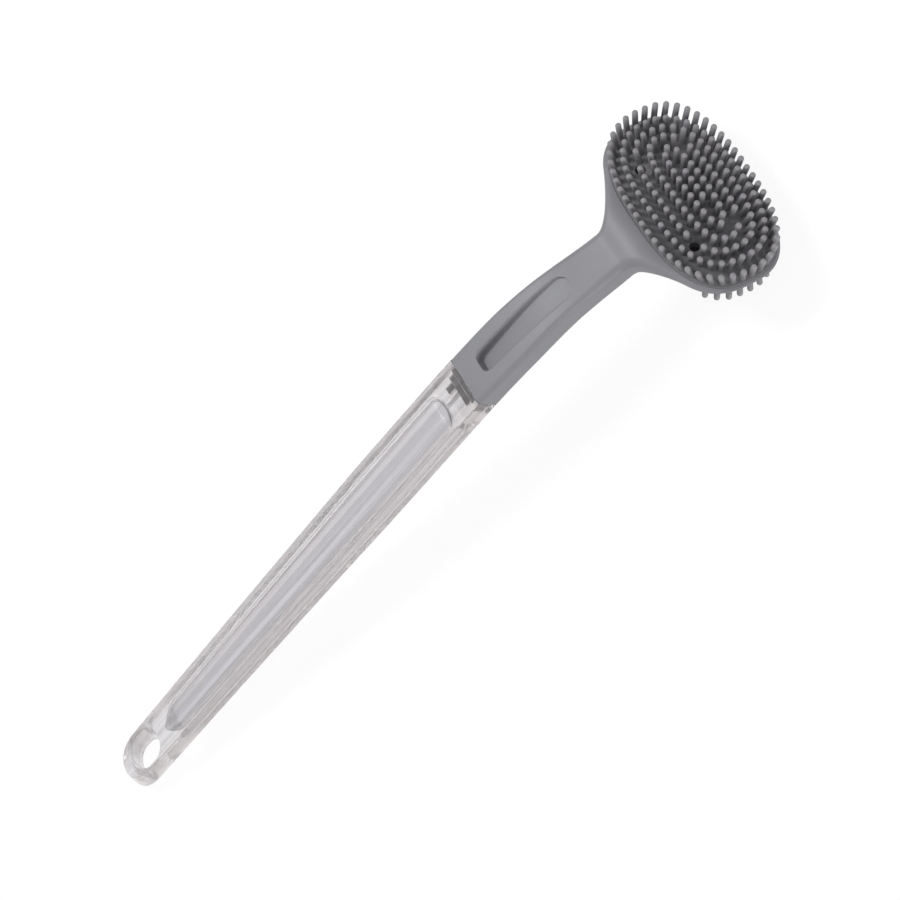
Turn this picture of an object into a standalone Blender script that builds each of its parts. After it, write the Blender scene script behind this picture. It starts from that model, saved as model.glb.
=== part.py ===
"""Toilet brush: a clear hollow handle, a bent grey neck and a two-sided oval head with soft bristles.

All lengths are in metres. The brush is built in its own frame: X runs across it, Y from the
handle's tip to the head, and Z out of its front face. At the end it is leaned and shifted to
the way it lies on a floor, on the back of the handle's tip and its lowest bristles.
"""
import math

import bmesh
import bpy
import numpy as np
from mathutils import Matrix, Vector, geometry

# Handle
HANDLE_LENGTH = 0.2500
HANDLE_TIP_WIDTH = 0.0180
HANDLE_MIDDLE_WIDTH = 0.0216
HANDLE_GRIP_WIDTH = 0.0229
JOINT_WIDTH = 0.0227
HANDLE_WIDTH_STATION_SHARES = (0.0, 0.56, 0.78, 1.0)
HANDLE_TIP_THICKNESS = 0.0123
HANDLE_MIDDLE_THICKNESS = 0.0122
JOINT_THICKNESS = 0.0125
HANDLE_THICKNESS_STATION_SHARES = (0.0, 0.5, 1.0)
HANDLE_BOW_HEIGHT = 0.0008
TIP_END_LENGTH = 0.0134
TIP_FRONT_ROUNDING_LENGTH = 0.0032
TIP_FRONT_ROUNDING_DEPTH = 0.0020
TIP_BACK_ROUNDING_LENGTH = 0.0080
TIP_BACK_ROUNDING_DEPTH = 0.0040
TIP_BLUNT_SHARE = 0.12
TIP_SLANT = math.radians(36.5)
SLANT_FULL_LENGTH = 0.0280
SLANT_FADE_LENGTH = 0.0320
TIP_FRONT_EDGE_RADIUS = 0.0016
TIP_BACK_EDGE_RADIUS = 0.0024
JOINT_FRONT_EDGE_RADIUS = 0.0022
JOINT_BACK_EDGE_RADIUS = 0.0032

# Hanging eye
EYE_WIDTH = 0.0136
EYE_LENGTH = 0.0174
EYE_START_LENGTH = 0.0082
EYE_RIM_RADIUS = 0.0016
EYE_DRAFT_WIDTH = 0.0014

# Hollow of the handle, with the narrow channel it was blown through
SIDE_WALL_THICKNESS = 0.0032
FACE_WALL_THICKNESS = 0.0026
HOLLOW_START_LENGTH = 0.0305
HOLLOW_NOSE_LENGTH = 0.0100
HOLLOW_TO_JOINT_LENGTH = 0.0145
HOLLOW_END_RADIUS = 0.0045
HOLLOW_CORNER_RADIUS = 0.0016
CHANNEL_WIDTH = 0.0022

# Plug of the neck in the handle's socket
FIT_CLEARANCE = 0.0003
COLLAR_LENGTH = 0.0024
COLLAR_WIDTH = 0.0168
COLLAR_HEIGHT = 0.0086
STUB_LENGTH = 0.0030
STUB_WIDTH = 0.0140
STUB_HEIGHT = 0.0066
KEY_LENGTH = 0.0044
KEY_WIDTH = 0.0028
KEY_HEIGHT = 0.0034
PLUG_CORNER_RADIUS = 0.0008

# Neck
NECK_LENGTH = 0.0747
NECK_BEND = math.radians(21.6)
NECK_BEND_STATION_SHARES = (0.0, 0.1, 0.2, 0.33, 0.45, 0.55, 0.65, 0.75, 0.9, 1.0)
NECK_BEND_SHARES = (0.16, 0.21, 0.26, 0.32, 0.41, 0.57, 0.83, 0.98, 0.92, 0.80)
NECK_WIDTH = 0.0231
NECK_STATION_SHARES = (0.0, 0.11, 0.24, 0.34, 0.46, 0.57, 0.68, 0.78, 0.9, 1.0)
NECK_WIDTH_SHARES = (0.983, 0.99, 1.0, 0.996, 0.964, 0.922, 0.892, 0.878, 0.852, 0.832)
NECK_THICKNESS_STATION_SHARES = (0.0, 0.3, 0.58, 0.82, 1.0)
NECK_THICKNESS_SHARES = (1.0, 0.925, 0.95, 0.88, 0.92)

# Long groove in the neck's front
GROOVE_START_LENGTH = 0.0092
GROOVE_LENGTH = 0.0468
GROOVE_WIDTH = 0.0100
GROOVE_NEAR_DEPTH = 0.0034
GROOVE_FAR_DEPTH = 0.0008

# Bristles of the front, whose tips lie on a shallow dome
STRAND_HEIGHT = 0.0066
STRAND_NOSE_HEIGHT = 0.0007
STRAND_DIAMETER = 0.0022
STRAND_TIP_SHARE = 0.88
STRAND_FOOT_ACROSS_SHARE = 0.944
STRAND_FOOT_ALONG_SHARE = 0.885
STRAND_SIDES = 4
FRONT_TIP_HALF_WIDTH = 0.0405
FRONT_TIP_HALF_DEPTH = 0.0242
FRONT_TIP_DOME_RADIUS_ACROSS = 0.1610
FRONT_TIP_DOME_RADIUS_ALONG = 0.0490
FRONT_RIM_STRAND_HEIGHT = 0.0013
FAR_RIM_PULL_LENGTH = 0.0015
FRONT_RIM_TURN = math.radians(1.5)
FRONT_RIM_PITCH_SHARE = 0.0
BACK_RIM_PITCH_SHARE = -0.5
BACK_RIM_BARE_LENGTH = 0.0060
MIDDLE_ROW_PITCH = 0.0040
MIDDLE_ROW_COUNT = 4
RING_WIDTH_SHARES = (1.0, 0.854, 0.738, 0.627, 0.479)
RING_DEPTH_SHARES = (1.0, 0.785, 0.587, 0.372, 0.165)
FRONT_RING_COUNTS = (50, 44, 36, 30, 20)
FRONT_RING_SQUARENESS = (2.5, 2.66, 2.76, 2.73, 2.37)
FRONT_HOLE_PLACES = ((2, 5), (2, 31))
FRONT_BARE_PLACES = ((3, 10), (3, 20))

# Bristles of the back, in a smaller oval than the front's
BACK_TIP_WIDTH_STEP = 0.0028
BACK_TIP_DEPTH_STEP = 0.0037
BACK_PAD_OFFSET = 0.0009
BACK_TIP_DOME_RADIUS_ACROSS = 0.2150
BACK_TIP_DOME_RADIUS_ALONG = 0.1100
BACK_RING_COUNTS = (44, 38, 32, 26, 16)
BACK_RING_SQUARENESS = (2.75, 2.8, 2.8, 2.7, 2.4)
BACK_HOLE_PLACES = ((2, 5), (2, 27))
BACK_BARE_PLACES = ()
BACK_TIP_HALF_WIDTH = FRONT_TIP_HALF_WIDTH - BACK_TIP_WIDTH_STEP
BACK_TIP_HALF_DEPTH = FRONT_TIP_HALF_DEPTH - BACK_TIP_DEPTH_STEP

# Bristle pads
PAD_CENTRE_THICKNESS = 0.0024
PAD_EDGE_THICKNESS = 0.0012
PAD_MARGIN_WIDTH = 0.0018
PAD_HOLE_DIAMETER = 0.0032
CORE_HOLE_DEPTH = 0.0014

# Head, measured from the middle of the front bristles' tips
HEAD_REACH_LENGTH = 0.11115
HEAD_DROP_HEIGHT = 0.02936
HEAD_TILT = math.radians(48.17)
RIM_WALL_THICKNESS = 0.0011
HEAD_SQUARENESS = 2.5
HEAD_NEAR_SQUARENESS = 2.75
HEAD_RIM_BLUNTNESS = 16.0
FAN_END_LENGTH = 0.0200
FAN_FLARE = 2.0
FAN_BULGE_HEIGHT = 0.0013
FRONT_DOME_RADIUS_ACROSS = 0.1850
FRONT_DOME_RADIUS_ALONG = 0.0526
BACK_SURFACE_DEPTH = 0.0186
BACK_DOME_RADIUS_ACROSS = 0.1600
BACK_DOME_RADIUS_ALONG = 0.1250
HEAD_RIM_WIDTH = PAD_MARGIN_WIDTH + FIT_CLEARANCE + RIM_WALL_THICKNESS
HEAD_HALF_WIDTH = FRONT_TIP_HALF_WIDTH * STRAND_FOOT_ACROSS_SHARE + HEAD_RIM_WIDTH
HEAD_HALF_DEPTH = FRONT_TIP_HALF_DEPTH * STRAND_FOOT_ALONG_SHARE + HEAD_RIM_WIDTH

# The flat that the floor has pressed into the lowest bristles
REST_FLAT_DEPTH = 0.0005

# How finely round shapes are stepped
CORNER_STEPS = 6
CORNER_ROOM_SHARE = 0.98
PAD_OUTLINE_STEPS = 64
SEAT_RING_SHARES = (0.06, 0.28, 0.52, 0.76, 1.0)
HOLE_STEPS = 12
NECK_LINE_STEPS = 150


def clear_scene():
    """Removes every object that the scene starts with."""
    for thing in list(bpy.context.scene.objects):
        bpy.data.objects.remove(thing, do_unlink=True)


def add_object(name, points, faces):
    """Makes one object from points and faces, with all faces turned outward."""
    mesh = bpy.data.meshes.new(name)
    mesh.from_pydata([tuple(map(float, point)) for point in points], [], faces)
    shape = bmesh.new()
    shape.from_mesh(mesh)
    bmesh.ops.recalc_face_normals(shape, faces=shape.faces)
    shape.to_mesh(mesh)
    shape.free()
    thing = bpy.data.objects.new(name, mesh)
    bpy.context.scene.collection.objects.link(thing)
    return thing


def add_material(thing, name, colour, roughness, clear_share=0.0):
    """Gives an object its own plain material."""
    material = bpy.data.materials.new(name)
    material.use_nodes = True
    shader = material.node_tree.nodes["Principled BSDF"]
    shader.inputs["Base Color"].default_value = (*colour, 1.0)
    shader.inputs["Roughness"].default_value = roughness
    shader.inputs["Transmission Weight"].default_value = clear_share
    material.diffuse_color = (*colour, 1.0)
    thing.data.materials.append(material)


def shade_smooth(thing, sharpest):
    """Shades an object smooth where its faces meet at less than the given angle."""
    thing.data.shade_smooth()
    thing.data.set_sharp_from_angle(angle=sharpest)


def cut(thing, cutter):
    """Takes a cutter's volume out of an object."""
    cutter.hide_render = True
    cutter.display_type = "WIRE"
    step = thing.modifiers.new("cut", "BOOLEAN")
    step.operation = "DIFFERENCE"
    step.solver = "EXACT"
    step.object = cutter
    apply_modifiers(thing)
    bpy.data.objects.remove(cutter, do_unlink=True)


def join(thing, other):
    """Adds another object's volume to an object."""
    step = thing.modifiers.new("join", "BOOLEAN")
    step.operation = "UNION"
    step.solver = "EXACT"
    step.object = other
    apply_modifiers(thing)
    bpy.data.objects.remove(other, do_unlink=True)


def apply_modifiers(thing):
    """Replaces an object's mesh by the one its modifiers give."""
    bpy.context.view_layer.update()
    shown = thing.evaluated_get(bpy.context.evaluated_depsgraph_get())
    mesh = bpy.data.meshes.new_from_object(shown)
    thing.modifiers.clear()
    thing.data = mesh


def skin(name, rings):
    """Joins rings of equally many points into one closed body with flat ends."""
    around = len(rings[0])
    points = [point for ring in rings for point in ring]
    faces = []
    for level in range(len(rings) - 1):
        for k in range(around):
            low = level * around
            after = (k + 1) % around
            faces.append((low + k, low + after, low + around + after, low + around + k))
    faces.append(tuple(range(around)))
    faces.append(tuple(range(len(points) - around, len(points))))
    return add_object(name, points, faces)


def smooth_curve(stations, values, at):
    """Reads a smooth curve through the given values, without overshoot, at the given places."""
    stations = np.asarray(stations, float)
    values = np.asarray(values, float)
    steps = np.diff(values) / np.diff(stations)
    slopes = np.concatenate([steps[:1], (steps[:-1] + steps[1:]) / 2, steps[-1:]])
    turns = np.concatenate([[False], steps[:-1] * steps[1:] <= 0, [False]])
    slopes[turns] = 0
    place = np.clip(np.searchsorted(stations, at, side="right") - 1, 0, len(steps) - 1)
    width = stations[place + 1] - stations[place]
    t = (at - stations[place]) / width
    start = values[place] * (1 + 2 * t) * (1 - t) ** 2 + slopes[place] * width * t * (1 - t) ** 2
    end = values[place + 1] * t ** 2 * (3 - 2 * t) + slopes[place + 1] * width * t ** 2 * (t - 1)
    return start + end


def rounded_box(half_width, front, back, front_radius, back_radius):
    """Outline of a rounded rectangle in x and z, from the front's middle round by +x.

    Each corner radius shrinks where the rectangle is too small for it."""
    room = min(half_width, (front - back) / 2)
    front_radius = min(front_radius, CORNER_ROOM_SHARE * room)
    back_radius = min(back_radius, CORNER_ROOM_SHARE * room)
    outline = [(0.0, front)]
    turn = np.linspace(0, math.pi / 2, CORNER_STEPS + 1)
    for angle in turn:
        x = half_width - front_radius + front_radius * math.sin(angle)
        outline.append((x, front - front_radius + front_radius * math.cos(angle)))
    for angle in turn:
        x = half_width - back_radius + back_radius * math.cos(angle)
        outline.append((x, back + back_radius - back_radius * math.sin(angle)))
    other_side = [(-x, z) for x, z in reversed(outline[1:])]
    return outline + [(0.0, back)] + other_side


def handle_half_width(y):
    """Half the handle's width at a place along it, with the oval end of its tip."""
    widths = (HANDLE_TIP_WIDTH, HANDLE_MIDDLE_WIDTH, HANDLE_GRIP_WIDTH, JOINT_WIDTH)
    half = smooth_curve(HANDLE_WIDTH_STATION_SHARES, widths, y / HANDLE_LENGTH) / 2
    inward = np.clip(1 - y / TIP_END_LENGTH, 0, 1)
    return half * np.maximum(np.sqrt(1 - inward ** 2), TIP_BLUNT_SHARE)


def fall(y, length, depth):
    """How far a face has fallen inward at a place near the tip, as a quarter of an oval."""
    inward = np.clip(1 - y / length, 0, 1)
    return depth * (1 - np.sqrt(1 - inward ** 2))


def handle_front(y):
    """Height of the handle's front face, which bows a little between its ends."""
    share = y / HANDLE_LENGTH
    bow = HANDLE_BOW_HEIGHT * 4 * share * (1 - share)
    return bow - fall(y, TIP_FRONT_ROUNDING_LENGTH, TIP_FRONT_ROUNDING_DEPTH)


def handle_back(y):
    """Height of the handle's back face."""
    share = y / HANDLE_LENGTH
    bow = HANDLE_BOW_HEIGHT * 4 * share * (1 - share)
    thicknesses = (HANDLE_TIP_THICKNESS, HANDLE_MIDDLE_THICKNESS, JOINT_THICKNESS)
    thickness = smooth_curve(HANDLE_THICKNESS_STATION_SHARES, thicknesses, share)
    return bow - thickness + fall(y, TIP_BACK_ROUNDING_LENGTH, TIP_BACK_ROUNDING_DEPTH)


def slanted(outline, y):
    """Puts a cross-section in its place. Near the tip it leans, so that the tip's end and its eye
    reach further out at the back than at the front."""
    past = np.clip((y - SLANT_FULL_LENGTH) / SLANT_FADE_LENGTH, 0, 1)
    lean = math.tan(TIP_SLANT) * (1 - past * past * (3 - 2 * past))
    return [(x, y + lean * z, z) for x, z in outline]


def handle_outline(y):
    """Cross-section of the handle's outside in x and z."""
    share = y / HANDLE_LENGTH
    front_radius = TIP_FRONT_EDGE_RADIUS + share * (JOINT_FRONT_EDGE_RADIUS - TIP_FRONT_EDGE_RADIUS)
    back_radius = TIP_BACK_EDGE_RADIUS + share * (JOINT_BACK_EDGE_RADIUS - TIP_BACK_EDGE_RADIUS)
    return rounded_box(handle_half_width(y), handle_front(y), handle_back(y), front_radius, back_radius)


def handle_body():
    """The handle's outer body."""
    tip_turns = np.linspace(0.12, 1, 10) * math.pi / 2
    tip = TIP_END_LENGTH * (1 - np.cos(tip_turns))
    leaning = np.linspace(TIP_END_LENGTH, SLANT_FULL_LENGTH + SLANT_FADE_LENGTH, 7)[1:]
    body = np.linspace(SLANT_FULL_LENGTH + SLANT_FADE_LENGTH, HANDLE_LENGTH, 10)[1:]
    rings = [slanted(handle_outline(y), y) for y in np.concatenate([[0.0], tip, leaning, body])]
    return skin("handle", rings)


def stadium(half_width, half_length, centre, steps):
    """Outline of a stadium in x and y, its straight sides along y."""
    straight = half_length - half_width
    turn = np.linspace(0, math.pi, steps + 1)
    far = [(half_width * math.cos(a), centre + straight + half_width * math.sin(a)) for a in turn]
    near = [(-half_width * math.cos(a), centre - straight - half_width * math.sin(a)) for a in turn]
    return far + near


def eye_cutter():
    """The hanging eye's volume, wider at the front than at the back, and widened at both faces by
    its rounded rim."""
    steepest = 0.94
    depths = EYE_RIM_RADIUS * (1 - steepest * np.linspace(1, 0, 7))
    widths = EYE_RIM_RADIUS - np.sqrt(EYE_RIM_RADIUS ** 2 - (EYE_RIM_RADIUS - depths) ** 2)
    slope = steepest / math.sqrt(1 - steepest ** 2)
    over = EYE_RIM_RADIUS
    centre = EYE_START_LENGTH + EYE_LENGTH / 2
    front = handle_front(centre)
    back = handle_back(centre)
    levels = [(front + over, widths[0] + slope * (over + depths[0]))]
    levels += [(front - depth, width) for depth, width in zip(depths, widths)]
    levels += [(back + depth, width) for depth, width in zip(depths[::-1], widths[::-1])]
    levels += [(back - over, widths[0] + slope * (over + depths[0]))]
    rings = []
    for z, rim in levels:
        wider = rim + EYE_DRAFT_WIDTH * ((z - back) / (front - back) - 0.5)
        outline = stadium(EYE_WIDTH / 2 + wider, EYE_LENGTH / 2 + wider, centre, 12)
        rings.append([(x, y + math.tan(TIP_SLANT) * z, z) for x, y in outline])
    return skin("eye_cutter", rings)


def hollow_cutter():
    """The handle's hollow: pointed at the tip's end, rounded at the joint's end, and carried on
    as a narrow channel into the socket."""
    channel = CHANNEL_WIDTH / 2
    body_start = HOLLOW_START_LENGTH + HOLLOW_NOSE_LENGTH
    body_end = HANDLE_LENGTH - HOLLOW_TO_JOINT_LENGTH - HOLLOW_END_RADIUS
    stations = [(HOLLOW_START_LENGTH + HOLLOW_NOSE_LENGTH * t, math.sin(t * math.pi / 2))
                for t in np.linspace(0, 1, 7)]
    stations += [(y, 1.0) for y in np.linspace(body_start, body_end, 9)[1:]]
    turn = np.linspace(0, math.pi / 2, 6)[1:]
    stations += [(body_end + HOLLOW_END_RADIUS * math.sin(a), math.cos(a)) for a in turn]
    stations.append((HANDLE_LENGTH - COLLAR_LENGTH, 0.0))
    rings = []
    for y, share in stations:
        half_width = channel + share * (handle_half_width(y) - SIDE_WALL_THICKNESS - channel)
        centre = (handle_front(y) + handle_back(y)) / 2
        half_height = handle_front(y) - centre
        half_height = channel + share * (half_height - FACE_WALL_THICKNESS - channel)
        outline = rounded_box(half_width, centre + half_height, centre - half_height,
                              HOLLOW_CORNER_RADIUS, HOLLOW_CORNER_RADIUS)
        rings.append(slanted(outline, y))
    return skin("hollow_cutter", rings)


def block(name, x_centre, half_width, half_height, start, end):
    """A bar along Y with rounded long edges, on the joint's middle height."""
    middle = -JOINT_THICKNESS / 2
    outline = rounded_box(half_width, middle + half_height, middle - half_height,
                          PLUG_CORNER_RADIUS, PLUG_CORNER_RADIUS)
    rings = [[(x_centre + x, y, z) for x, z in outline] for y in (start, end)]
    return skin(name, rings)


def plug(name, wider, start):
    """The plug of the neck, or with a clearance the socket it sits in, from the joint face."""
    face = HANDLE_LENGTH
    collar_end = face - COLLAR_LENGTH - wider
    stub_end = face - COLLAR_LENGTH - STUB_LENGTH - wider
    key_end = stub_end - KEY_LENGTH
    key_place = -STUB_WIDTH / 2 + KEY_WIDTH
    body = block(name, 0.0, COLLAR_WIDTH / 2 + wider, COLLAR_HEIGHT / 2 + wider, start, collar_end)
    stub = block("stub", 0.0, STUB_WIDTH / 2 + wider, STUB_HEIGHT / 2 + wider, start, stub_end)
    key = block("key", key_place, KEY_WIDTH / 2 + wider, KEY_HEIGHT / 2 + wider, start, key_end)
    join(body, stub)
    join(body, key)
    return body


def make_handle():
    """The clear handle with its eye, its hollow and its socket."""
    handle = handle_body()
    cut(handle, eye_cutter())
    cut(handle, hollow_cutter())
    cut(handle, plug("socket_cutter", FIT_CLEARANCE, HANDLE_LENGTH + COLLAR_LENGTH))
    add_material(handle, "clear_plastic", (0.80, 0.80, 0.79), 0.08, 0.9)
    shade_smooth(handle, math.radians(35))
    return handle


def neck_front(share):
    """Place on the neck's front line and its slope angle, at a share of the neck's length."""
    line = np.linspace(0, 1, NECK_LINE_STEPS + 1)
    slopes = NECK_BEND * smooth_curve(NECK_BEND_STATION_SHARES, NECK_BEND_SHARES, line)
    middles = (slopes[:-1] + slopes[1:]) / 2
    step = NECK_LENGTH / NECK_LINE_STEPS
    y = np.interp(share, line, np.concatenate([[0], np.cumsum(step * np.cos(middles))]))
    z = np.interp(share, line, np.concatenate([[0], np.cumsum(-step * np.sin(middles))]))
    place = np.array((HANDLE_LENGTH + FIT_CLEARANCE + y, z))
    return place, np.interp(share, line, slopes)


def head_point(along, lift):
    """Place in y and z of a point given along the head, away from the neck, and by its lift."""
    y = HANDLE_LENGTH + HEAD_REACH_LENGTH + lift * math.sin(HEAD_TILT) + along * math.cos(HEAD_TILT)
    z = -HEAD_DROP_HEIGHT + lift * math.cos(HEAD_TILT) - along * math.sin(HEAD_TILT)
    return np.array((y, z))


def on_head(x, along, lift):
    """Place in the brush's frame of a point given in the head's frame."""
    y, z = head_point(along, lift)
    return np.array((x, y, z))


def front_lift(x, along):
    """Lift of the front pad's surface."""
    return (-STRAND_HEIGHT - x ** 2 / (2 * FRONT_DOME_RADIUS_ACROSS)
            - along ** 2 / (2 * FRONT_DOME_RADIUS_ALONG))


def back_lift(x, along):
    """Lift of the back pad's surface."""
    return (-BACK_SURFACE_DEPTH + x ** 2 / (2 * BACK_DOME_RADIUS_ACROSS)
            + along ** 2 / (2 * BACK_DOME_RADIUS_ALONG))


def outline_share(x, along, half_width, half_depth, squareness):
    """How far out a point lies towards an oval outline: 0 in its middle, 1 on it."""
    total = np.abs(x / half_width) ** squareness + np.abs(along / half_depth) ** squareness
    return total ** (1 / squareness)


def head_chord(along):
    """Half the head's width at a place along it."""
    squareness = HEAD_SQUARENESS if along > 0 else HEAD_NEAR_SQUARENESS
    left = 1 - np.abs(along / HEAD_HALF_DEPTH) ** squareness
    return HEAD_HALF_WIDTH * left ** (1 / squareness)


def lens_outline(half_width, along, past_middle):
    """Cross-section of the head in x and lift, in the same order of points as rounded_box."""
    inner = np.array([0.0, 0.45, 0.72, 0.86])
    rim = np.sin(np.linspace(math.asin(0.91), math.pi / 2, CORNER_STEPS)[:CORNER_STEPS - 1])
    quarter = np.concatenate([inner, rim])[: CORNER_STEPS + 2]
    outline = []
    for side in (1, -1):
        shares = quarter if side > 0 else quarter[::-1]
        for share in shares:
            x = share * half_width
            toward_rim = share
            if past_middle:
                toward_rim = outline_share(x, along, HEAD_HALF_WIDTH, HEAD_HALF_DEPTH, HEAD_SQUARENESS)
            front = front_lift(x, along)
            back = back_lift(x, along)
            fullness = math.sqrt(max(1 - min(toward_rim, 1.0) ** HEAD_RIM_BLUNTNESS, 0.0))
            outline.append((x, (front + back) / 2 + side * fullness * (front - back) / 2))
    other_side = [(-x, lift) for x, lift in reversed(outline[1:-1])]
    return outline + other_side


def neck_ring(share):
    """One cross-section of the neck. The first lies in the joint's plane and the next ones turn
    square to the neck."""
    front, angle = neck_front(share)
    half_width = NECK_WIDTH / 2 * smooth_curve(NECK_STATION_SHARES, NECK_WIDTH_SHARES, share)
    thickness = JOINT_THICKNESS * smooth_curve(NECK_THICKNESS_STATION_SHARES, NECK_THICKNESS_SHARES, share)
    outline = rounded_box(half_width, 0.0, -thickness, JOINT_FRONT_EDGE_RADIUS, JOINT_BACK_EDGE_RADIUS)
    tilt = angle * min(share / NECK_STATION_SHARES[1], 1.0)
    normal = np.array((math.sin(tilt), math.cos(tilt)))
    return [(x, *(front + depth * normal)) for x, depth in outline]


def fan_ring(share):
    """One cross-section of the fan, blended from the neck's last one to the head's shape."""
    start, start_angle = neck_front(1.0)
    start_way = np.array((math.cos(start_angle), -math.sin(start_angle)))
    near = -FAN_END_LENGTH
    end = head_point(near, front_lift(0.0, near))
    dome_slope = -near / FRONT_DOME_RADIUS_ALONG
    end_angle = HEAD_TILT - math.atan(dome_slope)
    end_way = np.array((math.cos(end_angle), -math.sin(end_angle)))
    reach = np.linalg.norm(end - start)
    t = share
    front = (start * (1 + 2 * t) * (1 - t) ** 2 + start_way * reach * t * (1 - t) ** 2
             + end * t ** 2 * (3 - 2 * t) + end_way * reach * t ** 2 * (t - 1))
    front[1] += FAN_BULGE_HEIGHT * (4 * t * (1 - t)) ** 2
    ease = t * t * (3 - 2 * t)
    tilt = start_angle + ease * (HEAD_TILT - start_angle)
    normal = np.array((math.sin(tilt), math.cos(tilt)))
    neck_half = NECK_WIDTH / 2 * NECK_WIDTH_SHARES[-1]
    half_width = neck_half + t ** FAN_FLARE * (head_chord(near) - neck_half)
    neck_thickness = JOINT_THICKNESS * NECK_THICKNESS_SHARES[-1]
    neck_shape = rounded_box(half_width, 0.0, -neck_thickness, JOINT_FRONT_EDGE_RADIUS,
                             JOINT_BACK_EDGE_RADIUS)
    head_shape = lens_outline(half_width, near, False)
    top = front_lift(0.0, near)
    ring = []
    for (x_neck, depth_neck), (x_head, lift_head) in zip(neck_shape, head_shape):
        x = x_neck + ease * (x_head - x_neck)
        depth = depth_neck + ease * (lift_head - top - depth_neck)
        ring.append((x, *(front + depth * normal)))
    return ring


def head_ring(along):
    """One cross-section of the head."""
    outline = lens_outline(head_chord(along), along, along > 0)
    return [tuple(on_head(x, along, lift)) for x, lift in outline]


def core_body():
    """The outer body of the neck and head, without its plug."""
    rings = [neck_ring(share) for share in np.linspace(0, 1, 19)]
    rings += [fan_ring(share) for share in np.linspace(0, 1, 10)[1:-1]]
    rings += [head_ring(along) for along in np.linspace(-FAN_END_LENGTH, 0, 8)]
    far_shares = np.array([0.98, 0.94, 0.88, 0.80, 0.71, 0.61, 0.50, 0.38, 0.25, 0.12])
    far = HEAD_HALF_DEPTH * (1 - far_shares ** HEAD_SQUARENESS) ** (1 / HEAD_SQUARENESS)
    rings += [head_ring(along) for along in far]
    return skin("neck_and_head_core", rings)


def groove_cutter():
    """The long groove's volume: a stadium whose floor follows the neck and nearly runs out at the
    head's end."""
    start = HANDLE_LENGTH + FIT_CLEARANCE + GROOVE_START_LENGTH
    line = [neck_front(share)[0] for share in np.linspace(0, 1, NECK_LINE_STEPS // 5)]
    line_y, line_z = np.array(line).T
    radius = GROOVE_WIDTH / 2
    turn = np.linspace(0.2, 1, 6) * math.pi / 2
    end_places = radius * (1 - np.cos(turn))
    middle_places = np.linspace(radius, GROOVE_LENGTH - radius, 7)[1:-1]
    end_halves = radius * np.sin(turn)
    places = np.concatenate([end_places, middle_places, GROOVE_LENGTH - end_places[::-1]])
    halves = np.concatenate([end_halves, np.full(len(middle_places), radius), end_halves[::-1]])
    rings = []
    for place, half in zip(places, halves):
        y = start + place
        front = np.interp(y, line_y, line_z)
        depth = GROOVE_NEAR_DEPTH + place / GROOVE_LENGTH * (GROOVE_FAR_DEPTH - GROOVE_NEAR_DEPTH)
        rings.append([(-half, y, front - depth), (half, y, front - depth),
                      (half, y, front + radius), (-half, y, front + radius)])
    return skin("groove_cutter", rings)


def oval(half_width, half_depth, squareness, count, centre=0.0, start=0.0):
    """Points evenly spaced round an oval, from the neck's side round by +x, the first one at the
    given share of the spacing."""
    turn = np.linspace(0, 2 * math.pi, 1441)
    x = half_width * np.sign(np.sin(turn)) * np.abs(np.sin(turn)) ** (2 / squareness)
    along = -half_depth * np.sign(np.cos(turn)) * np.abs(np.cos(turn)) ** (2 / squareness)
    run = np.concatenate([[0], np.cumsum(np.hypot(np.diff(x), np.diff(along)))])
    places = (np.arange(count) + start) % count * run[-1] / count
    return np.stack([np.interp(places, run, x), np.interp(places, run, along) + centre], axis=1)


def pad_sizes(front):
    """Half width, half depth, squareness and centre of a pad's outline."""
    tip_width = FRONT_TIP_HALF_WIDTH if front else BACK_TIP_HALF_WIDTH
    tip_depth = FRONT_TIP_HALF_DEPTH if front else BACK_TIP_HALF_DEPTH
    half_width = tip_width * STRAND_FOOT_ACROSS_SHARE + PAD_MARGIN_WIDTH
    half_depth = tip_depth * STRAND_FOOT_ALONG_SHARE + PAD_MARGIN_WIDTH
    squareness = FRONT_RING_SQUARENESS[0] if front else BACK_RING_SQUARENESS[0]
    return half_width, half_depth, squareness, 0.0 if front else BACK_PAD_OFFSET


def pad_surface(points, front):
    """Lifts of a pad's outer surface."""
    lift = front_lift if front else back_lift
    return np.array([lift(x, along) for x, along in points])


def pad_underside(points, front, deeper):
    """Lifts of a pad's underside, or with a clearance of the seat below it."""
    half_width, half_depth, squareness, centre = pad_sizes(front)
    inward = -1 if front else 1
    lifts = pad_surface(points, front)
    for k, (x, along) in enumerate(points):
        share = min(outline_share(x, along - centre, half_width, half_depth, squareness), 1.0)
        thickness = PAD_EDGE_THICKNESS + (PAD_CENTRE_THICKNESS - PAD_EDGE_THICKNESS) * (1 - share ** 2)
        lifts[k] += inward * (thickness + deeper)
    return lifts


def seat_cutter(front):
    """The volume that a pad takes out of the core, with its clearance, open to the outside."""
    half_width, half_depth, squareness, centre = pad_sizes(front)
    outward = 1 if front else -1
    rims = []
    for share in SEAT_RING_SHARES:
        rims.append(oval(share * (half_width + FIT_CLEARANCE), share * (half_depth + FIT_CLEARANCE),
                         squareness, PAD_OUTLINE_STEPS, centre))
    rings = []
    for rim in rims:
        floor = pad_underside(rim, front, FIT_CLEARANCE)
        rings.append([on_head(x, along, lift) for (x, along), lift in zip(rim, floor)])
    over = outward * STRAND_HEIGHT
    top = pad_surface(rims[-1], front) + over
    rings.append([on_head(x, along, lift) for (x, along), lift in zip(rims[-1], top)])
    return skin("seat_cutter", rings)


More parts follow.
